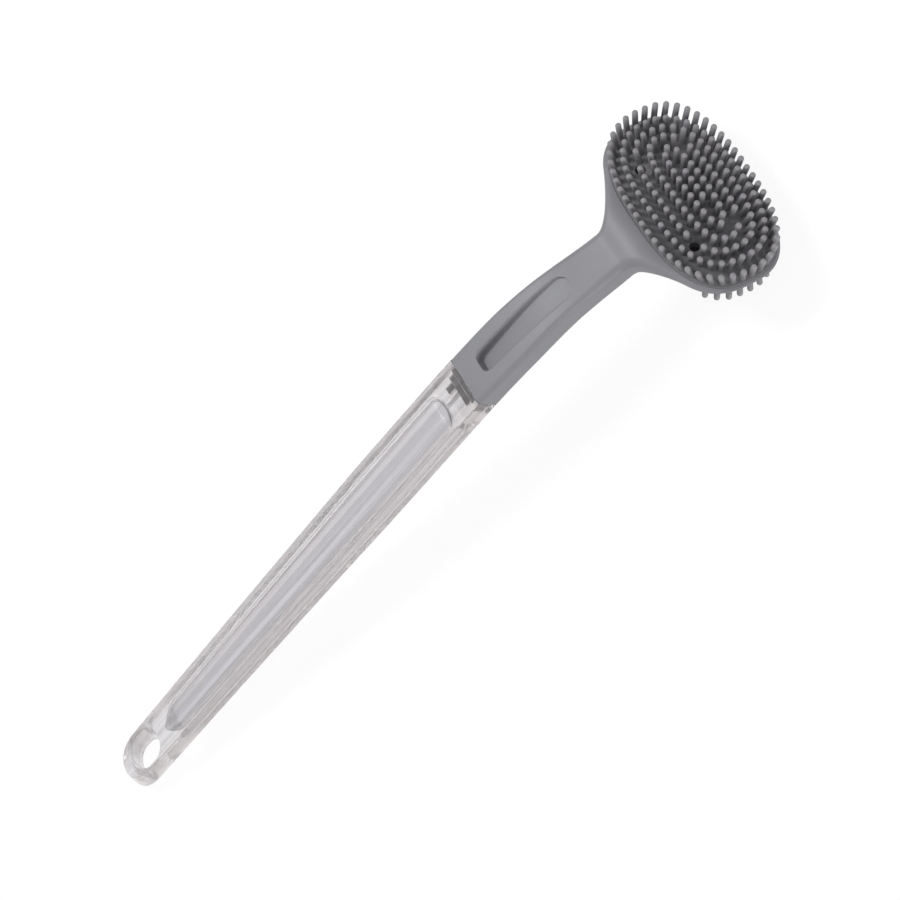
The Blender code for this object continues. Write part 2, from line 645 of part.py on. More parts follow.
def strand_rings(front):
    """Tip places of a pad's strands ring by ring, and the places of its holes."""
    half_width = FRONT_TIP_HALF_WIDTH if front else BACK_TIP_HALF_WIDTH
    half_depth = FRONT_TIP_HALF_DEPTH if front else BACK_TIP_HALF_DEPTH
    counts = FRONT_RING_COUNTS if front else BACK_RING_COUNTS
    squareness = FRONT_RING_SQUARENESS if front else BACK_RING_SQUARENESS
    hole_places = FRONT_HOLE_PLACES if front else BACK_HOLE_PLACES
    bare_places = FRONT_BARE_PLACES if front else BACK_BARE_PLACES
    rim_start = FRONT_RIM_PITCH_SHARE if front else BACK_RIM_PITCH_SHARE
    tips = []
    holes = []
    for ring, count in enumerate(counts):
        width = half_width * RING_WIDTH_SHARES[ring]
        depth = half_depth * RING_DEPTH_SHARES[ring]
        start = rim_start if ring == 0 else 0.0
        for place, (x, along) in enumerate(oval(width, depth, squareness[ring], count, 0.0, start)):
            if ring == 0 and not front and along < BACK_RIM_BARE_LENGTH - depth:
                continue
            if (ring, place) in hole_places:
                holes.append((x * STRAND_FOOT_ACROSS_SHARE, along * STRAND_FOOT_ALONG_SHARE))
            elif (ring, place) not in bare_places:
                tips.append((x, along, ring))
    for k in range(MIDDLE_ROW_COUNT):
        tips.append(((k - (MIDDLE_ROW_COUNT - 1) / 2) * MIDDLE_ROW_PITCH, 0.0, len(counts)))
    return tips, holes


def tip_place(x, along, ring, front):
    """Where a strand's tip really is: the front's rim is turned a little and drawn in at its far side."""
    if not front or ring > 0:
        return x, along
    pull = FAR_RIM_PULL_LENGTH * max(along / FRONT_TIP_HALF_DEPTH, 0.0) ** 2
    cosine = math.cos(FRONT_RIM_TURN)
    sine = math.sin(FRONT_RIM_TURN)
    return x * cosine + along * sine, along * cosine - x * sine - pull


def tip_lift(x, along, ring, front):
    """Lift of a strand's tip."""
    if front:
        drop = x ** 2 / (2 * FRONT_TIP_DOME_RADIUS_ACROSS) + along ** 2 / (2 * FRONT_TIP_DOME_RADIUS_ALONG)
        rise = FRONT_RIM_STRAND_HEIGHT if ring == 0 else 0.0
        return rise - drop + STRAND_NOSE_HEIGHT
    drop = x ** 2 / (2 * BACK_TIP_DOME_RADIUS_ACROSS) + along ** 2 / (2 * BACK_TIP_DOME_RADIUS_ALONG)
    return drop - BACK_SURFACE_DEPTH - STRAND_HEIGHT - STRAND_NOSE_HEIGHT


def polygon(x, along, radius, sides, turn):
    """Points of a regular polygon round a place."""
    angles = turn + np.arange(sides) * 2 * math.pi / sides
    return [(x + radius * math.cos(a), along + radius * math.sin(a)) for a in angles]


def sheet(outline, holes, patches, spare):
    """Triangles that fill an outline but leave its holes and patches open.

    The points come back in the order outline, holes, patches, spare points."""
    loops = [list(outline)] + [list(loop) for loop in holes] + [list(loop) for loop in patches]
    points = [point for loop in loops for point in loop] + list(spare)
    loop_faces = []
    first = 0
    for loop in loops:
        loop_faces.append(list(range(first, first + len(loop))))
        first += len(loop)
    scaled = [Vector((float(x), float(along))) / HEAD_HALF_WIDTH for x, along in points]
    found = geometry.delaunay_2d_cdt(scaled, [], loop_faces, 0, 1e-9, True)
    source = [origin[0] for origin in found[3]]
    triangles = []
    for face, owners in zip(found[2], found[5]):
        if list(owners) == [0]:
            triangles.append([source[k] for k in face])
    return points, triangles


def make_pad(name, front):
    """A soft pad with all its strands, as one closed body."""
    half_width, half_depth, squareness, centre = pad_sizes(front)
    outline = oval(half_width, half_depth, squareness, PAD_OUTLINE_STEPS, centre)
    tips, hole_places = strand_rings(front)
    shift = 0.0 if front else BACK_PAD_OFFSET
    holes = []
    for x, along in hole_places:
        holes.append(polygon(x, along + shift, PAD_HOLE_DIAMETER / 2, HOLE_STEPS, 0.0))
    foot_radius = STRAND_DIAMETER / 2 * math.sqrt(math.pi / 2)
    feet = []
    for x, along, ring in tips:
        turn = math.atan2(along / half_depth, x / half_width) + math.pi / STRAND_SIDES
        foot_x = x * STRAND_FOOT_ACROSS_SHARE
        foot_along = along * STRAND_FOOT_ALONG_SHARE + shift
        feet.append(polygon(foot_x, foot_along, foot_radius, STRAND_SIDES, turn))
    top, top_faces = sheet(outline, holes, feet, [])
    spare = []
    for share in SEAT_RING_SHARES[:-1]:
        spare += list(oval(share * half_width, share * half_depth, squareness, PAD_OUTLINE_STEPS // 2, centre))
    bottom, bottom_faces = sheet(outline, holes, [], spare)
    top_lifts = pad_surface(top, front)
    bottom_lifts = pad_underside(bottom, front, 0.0)
    points = [on_head(x, along, lift) for (x, along), lift in zip(top, top_lifts)]
    points += [on_head(x, along, lift) for (x, along), lift in zip(bottom, bottom_lifts)]
    below = len(top)
    faces = [tuple(face) for face in top_faces]
    faces += [tuple(below + k for k in face) for face in bottom_faces]
    first = 0
    for loop in [outline] + holes:
        for k in range(len(loop)):
            after = (k + 1) % len(loop)
            faces.append((first + k, first + after, below + first + after, below + first + k))
        first += len(loop)
    for (x, along, ring), foot in zip(tips, feet):
        tip_x, tip_along = tip_place(x, along, ring, front)
        tip_along += shift
        foot_centre = np.mean(foot, axis=0)
        lift = tip_lift(x, along, ring, front)
        start = len(points)
        for foot_x, foot_along in foot:
            points.append(on_head(tip_x + (foot_x - foot_centre[0]) * STRAND_TIP_SHARE,
                                  tip_along + (foot_along - foot_centre[1]) * STRAND_TIP_SHARE, lift))
        for k in range(STRAND_SIDES):
            after = (k + 1) % STRAND_SIDES
            faces.append((first + k, first + after, start + after, start + k))
        faces.append(tuple(range(start, start + STRAND_SIDES)))
        first += STRAND_SIDES
    pad = add_object(name, points, faces)
    add_material(pad, name + "_soft_plastic", (0.24, 0.235, 0.245), 0.6)
    return pad


def core_hole_cutter(x, along, front):
    """A blind hole in the core below a pad's hole."""
    inward = -1 if front else 1
    seat = pad_underside([(x, along)], front, FIT_CLEARANCE)[0]
    rings = []
    for lift in (seat + inward * CORE_HOLE_DEPTH, seat - inward * PAD_EDGE_THICKNESS):
        loop = polygon(x, along, PAD_HOLE_DIAMETER / 2, HOLE_STEPS, 0.0)
        rings.append([on_head(px, pa, lift) for px, pa in loop])
    return skin("hole_cutter", rings)


def make_core():
    """The grey moulding: plug, neck with its groove, fan and head with a seat on each side."""
    core = core_body()
    neck_plug = plug("plug", 0.0, HANDLE_LENGTH + FIT_CLEARANCE + COLLAR_LENGTH)
    join(core, neck_plug)
    cut(core, groove_cutter())
    for front in (True, False):
        cut(core, seat_cutter(front))
        shift = 0.0 if front else BACK_PAD_OFFSET
        for x, along in strand_rings(front)[1]:
            cut(core, core_hole_cutter(x, along + shift, front))
    add_material(core, "grey_plastic", (0.25, 0.26, 0.28), 0.45)
    shade_smooth(core, math.radians(35))
    return core


def lowest(things, lean):
    """Lowest height of some objects once the brush is leaned."""
    heights = []
    for thing in things:
        for vertex in thing.data.vertices:
            heights.append(vertex.co.y * math.sin(lean) + vertex.co.z * math.cos(lean))
    return min(heights)


def resting_lean(handle, back_pad):
    """Angle at which the handle's tip and the flats of the lowest strands stand level."""
    flat = 0.0
    steep = math.radians(30)
    for _ in range(40):
        lean = (flat + steep) / 2
        if lowest([back_pad], lean) + REST_FLAT_DEPTH < lowest([handle], lean):
            flat = lean
        else:
            steep = lean
    return (flat + steep) / 2


def cut_flat(thing):
    """Cuts an object off at the floor and closes the cuts."""
    shape = bmesh.new()
    shape.from_mesh(thing.data)
    everything = shape.verts[:] + shape.edges[:] + shape.faces[:]
    cut_parts = bmesh.ops.bisect_plane(shape, geom=everything, dist=1e-8, plane_co=(0, 0, 0),
                                       plane_no=(0, 0, -1), clear_outer=True)["geom_cut"]
    edges = [part for part in cut_parts if isinstance(part, bmesh.types.BMEdge)]
    bmesh.ops.holes_fill(shape, edges=edges, sides=0)
    bmesh.ops.recalc_face_normals(shape, faces=shape.faces)
    shape.to_mesh(thing.data)
    shape.free()


def lay_down(handle, core, front_pad, back_pad):
    """Leans the brush to the way it rests and brings its footprint's middle to the origin."""
    things = (handle, core, front_pad, back_pad)
    lean = resting_lean(handle, back_pad)
    floor = lowest([handle], lean)
    for thing in things:
        thing.data.transform(Matrix.Translation((0, 0, -floor)) @ Matrix.Rotation(lean, 4, "X"))
    cut_flat(back_pad)
    corners = [vertex.co for thing in things for vertex in thing.data.vertices]
    middle_x = (min(c.x for c in corners) + max(c.x for c in corners)) / 2
    middle_y = (min(c.y for c in corners) + max(c.y for c in corners)) / 2
    for thing in things:
        thing.data.transform(Matrix.Translation((-middle_x, -middle_y, 0)))
        thing.data.update()
    print("lean in degrees", round(math.degrees(lean), 4))
    print("shift", [round(-value, 6) for value in (middle_x, middle_y, floor)])


def main():
    clear_scene()
    handle = make_handle()
    core = make_core()
    front_pad = make_pad("front_bristle_pad", True)
    back_pad = make_pad("back_bristle_pad", False)
    lay_down(handle, core, front_pad, back_pad)


main()
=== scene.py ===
"""Toilet brush: the look of its pieces, laid out as a Blender add-on.

The brush is worked out in its own frame, in metres: X runs across it, Y from the handle's tip to
the head, and Z out of its front face. BRUSH_TO_ROW then lays it down the way the solids lie.
"""
import math

import bpy
import numpy as np
from mathutils import Euler, Matrix, Vector


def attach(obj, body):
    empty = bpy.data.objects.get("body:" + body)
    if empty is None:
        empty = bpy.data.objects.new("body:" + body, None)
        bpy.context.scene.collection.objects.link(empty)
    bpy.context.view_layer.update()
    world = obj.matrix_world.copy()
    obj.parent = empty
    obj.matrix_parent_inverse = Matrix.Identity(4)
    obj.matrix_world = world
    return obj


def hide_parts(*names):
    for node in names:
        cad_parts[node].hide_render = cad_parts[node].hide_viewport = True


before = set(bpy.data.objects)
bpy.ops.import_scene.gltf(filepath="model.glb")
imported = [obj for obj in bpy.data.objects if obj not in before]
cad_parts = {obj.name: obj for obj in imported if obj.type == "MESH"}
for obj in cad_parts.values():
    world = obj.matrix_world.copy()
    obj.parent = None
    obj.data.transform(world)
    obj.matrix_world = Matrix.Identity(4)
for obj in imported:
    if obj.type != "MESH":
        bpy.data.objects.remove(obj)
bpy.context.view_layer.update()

bl_info = {
    "name": "Toilet brush",
    "version": (1, 0, 0),
    "blender": (4, 5, 0),
    "location": "3D View > Sidebar > Brush",
    "description": "Builds a toilet brush with a clear handle and a two-sided soft head",
    "category": "Object",
}

# How the brush lies on the floor, as in the solids
REST_LEAN = math.radians(7.7858)
REST_SHIFT = (0.0, -0.185979, 0.012380)
BRUSH_TO_ROW = Matrix.Translation(REST_SHIFT) @ Matrix.Rotation(REST_LEAN, 4, "X")

# Where the photograph was taken from, in the brush's own frame
CAMERA_PLACE = (0.438417, 0.698585, 0.702336)
CAMERA_TURN = (math.radians(1.76433), math.radians(41.97069), math.radians(50.65984))
CAMERA_LENS = 100.0
CAMERA_SENSOR_WIDTH = 36.0

# Lamps, in the solids' frame: place, side of the square and power. They shine at LIT_PLACE.
LAMPS = {"key": ((-0.6, -0.05, 1.1), 0.4, 7.0), "fill": ((1.1, 0.3, 0.17), 0.5, 6.2)}
LIT_PLACE = (0.0, 0.05, 0.0)

# Strength of the white world for what it lights and for what looks at it, and the paint and the
# glow of the floor's paper for what looks at it
WORLD_STRENGTHS = (0.33, 1.0)
PAPER_SEEN_COLOUR = (0.17, 0.17, 0.17)
PAPER_SEEN_GLOW = 0.90

# Numbers of the colour sockets of Blender's mix node
MIX_FACTOR = 0
MIX_UNDER = 6
MIX_OVER = 7
MIX_RESULT = 2

# Roundings: how much of its room a radius may take, where on its turn a rounded end starts, and
# up to which angles faces are shaded smooth. Then the points round an oval, a pad and a hole.
GREATEST_ROUNDING_SHARE = 0.98
FIRST_TURN_SHARE = 0.04
SHARPEST_ANGLE = math.radians(38.0)
PAD_SHARPEST_ANGLE = math.radians(60.0)
OVAL_POINTS = 1440
PAD_OUTLINE_POINTS = 160
HOLE_SIDES = 32

# Handle: how its width and thickness run from the tip to the joint
HANDLE_WIDTH_STATION_SHARES = (0.0, 0.56, 0.78, 1.0)
HANDLE_THICKNESS_STATION_SHARES = (0.0, 0.5, 1.0)
HANDLE_BOW_HEIGHT = 0.0008
TIP_END_LENGTH = 0.0134
TIP_FRONT_ROUNDING = (0.0032, 0.0020)
TIP_BACK_ROUNDING = (0.0080, 0.0040)
TIP_BLUNT_SHARE = 0.12
TIP_FIRST_TURN_SHARE = 0.05
FLOW_START_SHARE = 0.3
TIP_SLANT = math.tan(math.radians(36.5))
SLANT_FULL_LENGTH = 0.0280
SLANT_FADE_LENGTH = 0.0320
FRONT_EDGE_RADII = (0.0006, 0.0014)
NECK_EDGE_RADIUS = 0.0020
FAN_EDGE_RADIUS = 0.0033
BACK_EDGE_RADII = (0.0024, 0.0032)
EYE_RIM_RADIUS = 0.0016
EYE_DRAFT_WIDTH = 0.0014
EYE_STEEPEST_RIM = 0.94

# Hollow of the handle, and the plug that sits in its socket
HOLLOW_START_LENGTH = 0.0340
HOLLOW_NOSE_LENGTH = 0.0085
HOLLOW_TO_JOINT_LENGTH = 0.0145
HOLLOW_END_RADIUS = 0.0045
HOLLOW_CORNER_RADIUS = 0.0032
CHANNEL_HALF_WIDTH = 0.0011
FIT_CLEARANCE = 0.0003
COLLAR_SIZE = (0.0168, 0.0024, 0.0086)
STUB_SIZE = (0.0140, 0.0030, 0.0066)
KEY_SIZE = (0.0028, 0.0044, 0.0034)
PLUG_CORNER_RADIUS = 0.0008

# Neck: how its slope, width and thickness run from the joint to the head
NECK_BEND_STATION_SHARES = (0.0, 0.1, 0.2, 0.33, 0.45, 0.55, 0.65, 0.75, 0.9, 1.0)
NECK_BEND_SHARES = (0.16, 0.21, 0.26, 0.32, 0.41, 0.57, 0.83, 0.98, 0.92, 0.80)
NECK_STATION_SHARES = (0.0, 0.11, 0.24, 0.34, 0.46, 0.57, 0.68, 0.78, 0.9, 1.0)
NECK_WIDTH_SHARES = (0.983, 0.99, 1.0, 0.996, 0.964, 0.922, 0.892, 0.878, 0.852, 0.832)
NECK_THICKNESS_STATION_SHARES = (0.0, 0.3, 0.58, 0.82, 1.0)
NECK_THICKNESS_SHARES = (1.0, 0.925, 0.95, 0.88, 0.92)
NECK_LINE_STEPS = 150
NECK_ROUNDING_START_SHARE = 0.57
NECK_ROUNDING_LENGTH_SHARE = 0.4
GROOVE_START_LENGTH = 0.0092
GROOVE_DEPTHS = (0.0036, 0.0010)
GROOVE_LIP_RADIUS = 0.0010
GROOVE_NEAR_SQUARENESS = 4.0
GROOVE_NEAR_WIDTH_SHARE = 0.84
GROOVE_FLOOR_RADIUS = 0.0008
GROOVE_ROUNDING_SHARE = 0.45

# Head, measured from the middle of the front bristles' tips
HEAD_REACH_LENGTH = 0.11115
HEAD_DROP_HEIGHT = 0.02936
RIM_WALL_THICKNESS = 0.0011
HEAD_SQUARENESS = 2.5
HEAD_NEAR_SQUARENESS = 2.75
HEAD_RIM_BLUNTNESS = 16.0
HEAD_TURN_SHARES = (0.1, 0.99)
FAN_END_LENGTH = 0.0200
FAN_FLARE = 2.0
FAN_BULGE_HEIGHT = 0.0013
FRONT_DOME_RADII = (0.1850, 0.0526)
BACK_SURFACE_DEPTH = 0.0186
BACK_DOME_RADII = (0.1600, 0.1250)

# Bristle pads: rings of pegs, counted from the rim inwards
PAD_CENTRE_THICKNESS = 0.0024
PAD_EDGE_THICKNESS = 0.0012
PAD_MARGIN_WIDTH = 0.0018
PAD_EDGE_RADIUS = 0.0003
PAD_HOLE_RADIUS = 0.0020
PAD_GAP_WIDTH = 0.0001
CORE_HOLE_DEPTH = 0.0014
PAD_FIRST_RING_SHARE = 0.01
PAD_HEIGHT_SHARE = 0.1
HOLE_LIP_HEIGHT_SHARES = (-0.25, -0.1, 0.0, 0.25)
HOLE_LIP_WIDTH_SHARES = (0.0, 0.0375, 0.15, 0.4)
HOLE_REACH_SHARE = 1.1
STRAND_SIDES = 10
STRAND_FLARE_HEIGHT_SHARES = (-0.5, 0.0, 0.35, 0.9)
STRAND_FLARE_WIDTH_SHARES = (1.4, 1.32, 1.12, 1.04)
STRAND_DOME_TURN_SHARES = (0.0, 0.42, 0.74, 0.92)
STRAND_DOME_SHARE = 0.62
STRAND_NOSE_HEIGHT = 0.0007
STRAND_TIP_SHARE = 0.97
STRAND_FULLNESS_SHARE = 1.08
STRAND_FOOT_SHARES = (0.944, 0.885)
FRONT_TIP_DOME_RADII = (0.1610, 0.0490)
BACK_TIP_DOME_RADII = (0.2150, 0.1100)
FRONT_RIM_STRAND_HEIGHT = 0.0013
FAR_RIM_STRAND_HEIGHT = 0.0011
BACK_SIDE_STRAND_HEIGHT = 0.0009
FAR_RIM_PULL_LENGTH = 0.0015
FRONT_RIM_TURN = math.radians(1.5)
BACK_RIM_PITCH_SHARE = -0.5
BACK_RIM_BARE_LENGTH = 0.0060
MIDDLE_ROW_PITCH = 0.0040
MIDDLE_ROW_COUNT = 4
RING_WIDTH_SHARES = (1.0, 0.854, 0.738, 0.627, 0.479)
RING_DEPTH_SHARES = (1.0, 0.785, 0.587, 0.372, 0.165)
FRONT_RING_COUNTS = (50, 44, 36, 30, 20)
FRONT_RING_SQUARENESS = (2.5, 2.66, 2.76, 2.73, 2.37)
FRONT_HOLE_PLACES = ((2, 5), (2, 31))
FRONT_BARE_PLACES = ((3, 10), (3, 20))
BACK_TIP_STEPS = (0.0028, 0.0037)
BACK_PAD_OFFSET = 0.0009
BACK_RING_COUNTS = (44, 38, 32, 26, 16)
BACK_RING_SQUARENESS = (2.75, 2.8, 2.8, 2.7, 2.4)
BACK_HOLE_PLACES = ((2, 5), (2, 27))


def length_property(name, description, default):
    """A size in metres that a user can change."""
    return bpy.props.FloatProperty(name=name, description=description, default=default, min=0.0,
                                   precision=5, unit="LENGTH")


def colour_property(name, description, colour_hex):
    """A colour that a user can change, given as sRGB hex digits."""
    return bpy.props.FloatVectorProperty(name=name, description=description, size=3, min=0.0,
                                         max=1.0, default=linear(colour_hex), subtype="COLOR")


def angle_property(name, description, degrees):
    """An angle that a user can change, given in degrees."""
    return bpy.props.FloatProperty(name=name, description=description, subtype="ANGLE",
                                   default=math.radians(degrees))


def linear(colour_hex):
    """Linear red, green and blue of an sRGB colour written as six hex digits."""
    parts = np.array([int(colour_hex[k:k + 2], 16) for k in (0, 2, 4)]) / 255
    low = parts / 12.92
    high = ((parts + 0.055) / 1.055) ** 2.4
    return tuple(float(value) for value in np.where(parts <= 0.04045, low, high))


class BrushHandleSettings(bpy.types.PropertyGroup):
    """Sizes and colour of the clear handle."""
    length: length_property("Length", "From the tip to the joint with the neck", 0.2500)
    tip_width: length_property("Tip width", "Width that the handle starts from", 0.0180)
    middle_width: length_property("Middle width", "Width a little past the middle", 0.0216)
    grip_width: length_property("Grip width", "Greatest width, before the joint", 0.0229)
    joint_width: length_property("Joint width", "Width where the neck starts", 0.0227)
    tip_thickness: length_property("Tip thickness", "Thickness at the tip", 0.0123)
    middle_thickness: length_property("Middle thickness", "Thickness half-way", 0.0122)
    joint_thickness: length_property("Joint thickness", "Thickness at the joint", 0.0125)
    eye_width: length_property("Eye width", "Width of the hanging eye", 0.0136)
    eye_length: length_property("Eye length", "Length of the hanging eye", 0.0174)
    eye_start: length_property("Eye place", "From the tip to the hanging eye", 0.0082)
    side_wall: length_property("Side wall", "Plastic beside the hollow", 0.0032)
    face_wall: length_property("Face wall", "Plastic in front of and behind the hollow", 0.0026)
    colour: colour_property("Colour", "Tint of the clear plastic", "F1F0F3")


class BrushNeckSettings(bpy.types.PropertyGroup):
    """Sizes and colour of the grey neck and head."""
    length: length_property("Neck length", "Length of the neck along its front", 0.0747)
    width: length_property("Neck width", "Greatest width of the neck", 0.0231)
    bend: angle_property("Bend", "Steepest slope of the neck", 21.6)
    head_tilt: angle_property("Head tilt", "Slope of the head", 48.17)
    groove_length: length_property("Groove length", "Length of the neck's groove", 0.0468)
    groove_width: length_property("Groove width", "Width of the neck's groove", 0.0100)
    colour: colour_property("Colour", "Colour of the hard grey plastic", "8E8E93")


class BrushBristleSettings(bpy.types.PropertyGroup):
    """Sizes and colour of the soft pads and their bristles."""
    half_width: length_property("Half width", "Half the width of the front bristles' oval", 0.0405)
    half_depth: length_property("Half depth", "Half the depth of the front bristles' oval", 0.0242)
    height: length_property("Bristle height", "Height of a bristle above its pad", 0.0066)
    diameter: length_property("Bristle diameter", "Thickness of a bristle", 0.0022)
    colour: colour_property("Colour", "Colour of the soft grey plastic", "9A989C")


class BrushStageSettings(bpy.types.PropertyGroup):
    """Size and colour of the floor."""
    floor_size: length_property("Floor size", "Side of the square floor", 12.0)
    floor_colour: colour_property("Floor colour", "Colour that it throws on the brush", "E6E6E6")


def wire(material, node, links):
    """Links from (node, output) to a node's inputs, each given by its name or number."""
    for name, (other, output) in links.items():
        material.node_tree.links.new(other.outputs[output], node.inputs[name])


def set_stops(elements, stops):
    """Gives a colour ramp its stops, each a place and a colour."""
    for place, _ in stops[1:-1]:
        elements.new(place)
    for element, (place, colour) in zip(elements, stops):
        element.position = place
        element.color = colour


def shades(colour, stops):
    """A colour ramp's stops from places and factors, each of them the colour times its factor."""
    return [(place, (*(factor * value for value in colour), 1.0)) for place, factor in stops]


def add_node(material, kind, settings=None, links=None):
    """Adds a shader node with its settings, and links from (node, output) to its inputs. A setting
    is an input's value, a colour ramp's stops or a property of the node itself."""
    node = material.node_tree.nodes.new(kind)
    for name, value in (settings or {}).items():
        if name == "stops":
            set_stops(node.color_ramp.elements, value)
        elif isinstance(name, int) or name in node.inputs:
            node.inputs[name].default_value = value
        else:
            setattr(node, name, value)
    wire(material, node, links or {})
    return node


def add_onlooker(material):
    """Adds nodes that give 1 to what looks at the stage, past the brush, off it or through it, and
    0 to what only takes light from the stage."""
    path = add_node(material, "ShaderNodeLightPath")
    looker = (path, "Is Camera Ray")
    for way in ("Is Glossy Ray", "Is Transmission Ray"):
        either = add_node(material, "ShaderNodeMath", {"operation": "MAXIMUM"},
                          {0: looker, 1: (path, way)})
        looker = (either, "Value")
    return looker


def new_material(name, settings):
    """A material whose shader has the given plain values on its own sockets."""
    material = bpy.data.materials.new(name)
    material.use_nodes = True
    shader = material.node_tree.nodes["Principled BSDF"]
    for socket, value in settings.items():
        shader.inputs[socket].default_value = value
    return material, shader


def cubic(t, start, start_way, end, end_way):
    """Cubic from a start to an end, with the given ways that it would go in one unit of t."""
    from_start = start * (1 + 2 * t) * (1 - t) ** 2 + start_way * t * (1 - t) ** 2
    return from_start + end * t ** 2 * (3 - 2 * t) + end_way * t ** 2 * (t - 1)


def smooth_curve(stations, values, at):
    """Smooth curve through the given values: a cubic between each two stations whose end slopes
    are the mean of its neighbours' slopes, and level where the values turn back."""
    stations = np.asarray(stations, float)
    values = np.asarray(values, float)
    steps = np.diff(values) / np.diff(stations)
    slopes = np.concatenate([steps[:1], (steps[:-1] + steps[1:]) / 2, steps[-1:]])
    slopes[np.concatenate([[False], steps[:-1] * steps[1:] <= 0, [False]])] = 0
    place = np.clip(np.searchsorted(stations, at, side="right") - 1, 0, len(steps) - 1)
    width = stations[place + 1] - stations[place]
    return cubic((at - stations[place]) / width, values[place], slopes[place] * width,
                 values[place + 1], slopes[place + 1] * width)


def ease(t):
    """Smooth step from 0 to 1: three squares less two cubes."""
    t = np.clip(t, 0, 1)
    return t * t * (3 - 2 * t)


def between(first, last, share):
    """What lies a share of the way from the first value to the last."""
    return first + share * (last - first)


def quarter_oval(y, length):
    """Grows from 0 at the tip to 1 at a length from it, along a quarter of an oval."""
    inward = np.clip(1 - y / length, 0, 1)
    return np.sqrt(1 - inward ** 2)


def oval_width(share, squareness):
    """How wide a squared oval is at a share of its depth: the root of one less a power."""
    return (1 - np.abs(share) ** squareness) ** (1 / squareness)


def oval_reach(across, along, squareness):
    """How far out in a squared oval a place is, 1 at its edge: the root of a sum of powers."""
    return (np.abs(across) ** squareness + np.abs(along) ** squareness) ** (1 / squareness)


def moved(points, turn):
    """Points, one row each, after a 4 by 4 turn and shift."""
    turn = np.array(turn)
    return points @ turn[:3, :3].T + turn[:3, 3]


def mesh_points(piece):
    """A piece's points, one row each."""
    points = np.empty(3 * len(piece.data.vertices))
    piece.data.vertices.foreach_get("co", points)
    return points.reshape(-1, 3)


def mark(piece, name, values):
    """Stores a number, or a place, on each point of a piece for its material to read."""
    kind, key = ("FLOAT", "value") if values.ndim == 1 else ("FLOAT_VECTOR", "vector")
    piece.data.attributes.new(name, kind, "POINT").data.foreach_set(key, values.ravel())


def add_object(name, points, faces):
    """Makes an object from points in the solids' frame."""
    mesh = bpy.data.meshes.new(name)
    mesh.from_pydata(points.tolist(), [], faces)
    mesh.update()
    piece = bpy.data.objects.new(name, mesh)
    bpy.context.scene.collection.objects.link(piece)
    return piece


def ring_faces(levels, around):
    """Faces between rings of points, with a cap on each end, all wound the same way."""
    first = np.arange(levels - 1)[:, None] * around
    low = first + np.arange(around)
    after = first + (np.arange(around) + 1) % around
    sides = np.stack([low, after, after + around, low + around], axis=-1).reshape(-1, 4)
    last = (levels - 1) * around
    return sides.tolist() + [list(range(around))[::-1], list(range(last, last + around))]


def outward(points, faces):
    """The faces, turned round if the body they enclose would be inside out."""
    fans = [(face[0], *corners) for face in faces for corners in zip(face[1:], face[2:])]
    first, second, third = points[np.array(fans)].transpose(1, 0, 2)
    volume = np.sum(first * np.cross(second, third))
    return faces if volume > 0 else [face[::-1] for face in faces]


def skin(name, rings):
    """One closed body through rings of points, an array of levels by points by 3."""
    points = rings.reshape(-1, 3)
    faces = outward(points, ring_faces(*rings.shape[:2]))
    return add_object(name, moved(points, BRUSH_TO_ROW), faces)


def carve(piece, cutter, operation="DIFFERENCE"):
    """Takes a cutter out of a piece, or adds it, and keeps the result as the piece's own mesh."""
    step = piece.modifiers.new("carve", "BOOLEAN")
    step.operation = operation
    step.solver = "EXACT"
    step.object = cutter
    bpy.context.view_layer.update()
    shown = piece.evaluated_get(bpy.context.evaluated_depsgraph_get())
    mesh = bpy.data.meshes.new_from_object(shown)
    piece.modifiers.clear()
    piece.data = mesh
    bpy.data.objects.remove(cutter, do_unlink=True)


def mirrored(x, z):
    """Sections closed by their mirror image: rows from the front's middle round to the back's."""
    return np.concatenate([x, -x[:, -2:0:-1]], axis=1), np.concatenate([z, z[:, -2:0:-1]], axis=1)


def rounded_section(half_width, front, back, front_radius, back_radius):
    """Rounded rectangles in x and z, one row each: flat front, quarter circle, straight side,
    quarter circle, flat back, and the same mirrored. Radii shrink where there is no room."""
    half_width, front, back, front_radius, back_radius = (
        value[:, None] for value in np.broadcast_arrays(
            *np.atleast_1d(half_width, front, back, front_radius, back_radius)))
    room = GREATEST_ROUNDING_SHARE * np.minimum(half_width, (front - back) / 2)
    front_radius = np.minimum(front_radius, room)
    back_radius = np.minimum(back_radius, room)
    turn = np.linspace(0, math.pi / 2, 11)
    flat = np.linspace(0, 1, 11)[:-1]
    side = np.linspace(0, 1, 8)[1:-1]
    front_x = (half_width - front_radius) * flat
    back_x = (half_width - back_radius) * flat[::-1]
    top = front - front_radius
    low = back + back_radius
    x = np.concatenate([front_x, half_width - front_radius * (1 - np.sin(turn)),
                        half_width + 0 * side, half_width - back_radius * (1 - np.cos(turn)),
                        back_x], axis=1)
    z = np.concatenate([front + 0 * flat, top + front_radius * np.cos(turn), top + (low - top) * side,
                        low - back_radius * np.sin(turn), back + 0 * flat], axis=1)
    return mirrored(x, z)


def stacked(x, y, z):
    """Points from arrays of x, y and z of the same shape, after broadcasting."""
    return np.stack(np.broadcast_arrays(x, y, z), axis=-1)


def handle_half_width(s, y):
    """Half the handle's width along it, closed at the tip by a blunt quarter of an oval."""
    widths = (s.tip_width, s.middle_width, s.grip_width, s.joint_width)
    half = smooth_curve(HANDLE_WIDTH_STATION_SHARES, widths, y / s.length) / 2
    return half * np.maximum(quarter_oval(y, TIP_END_LENGTH), TIP_BLUNT_SHARE)


def handle_bow(s, y):
    """Height of the handle's bow: a parabola that is highest half-way."""
    share = y / s.length
    return HANDLE_BOW_HEIGHT * 4 * share * (1 - share)


def fall(y, rounding):
    """How far a face has fallen at a place near the tip: one less a quarter of an oval."""
    return rounding[1] * (1 - quarter_oval(y, rounding[0]))


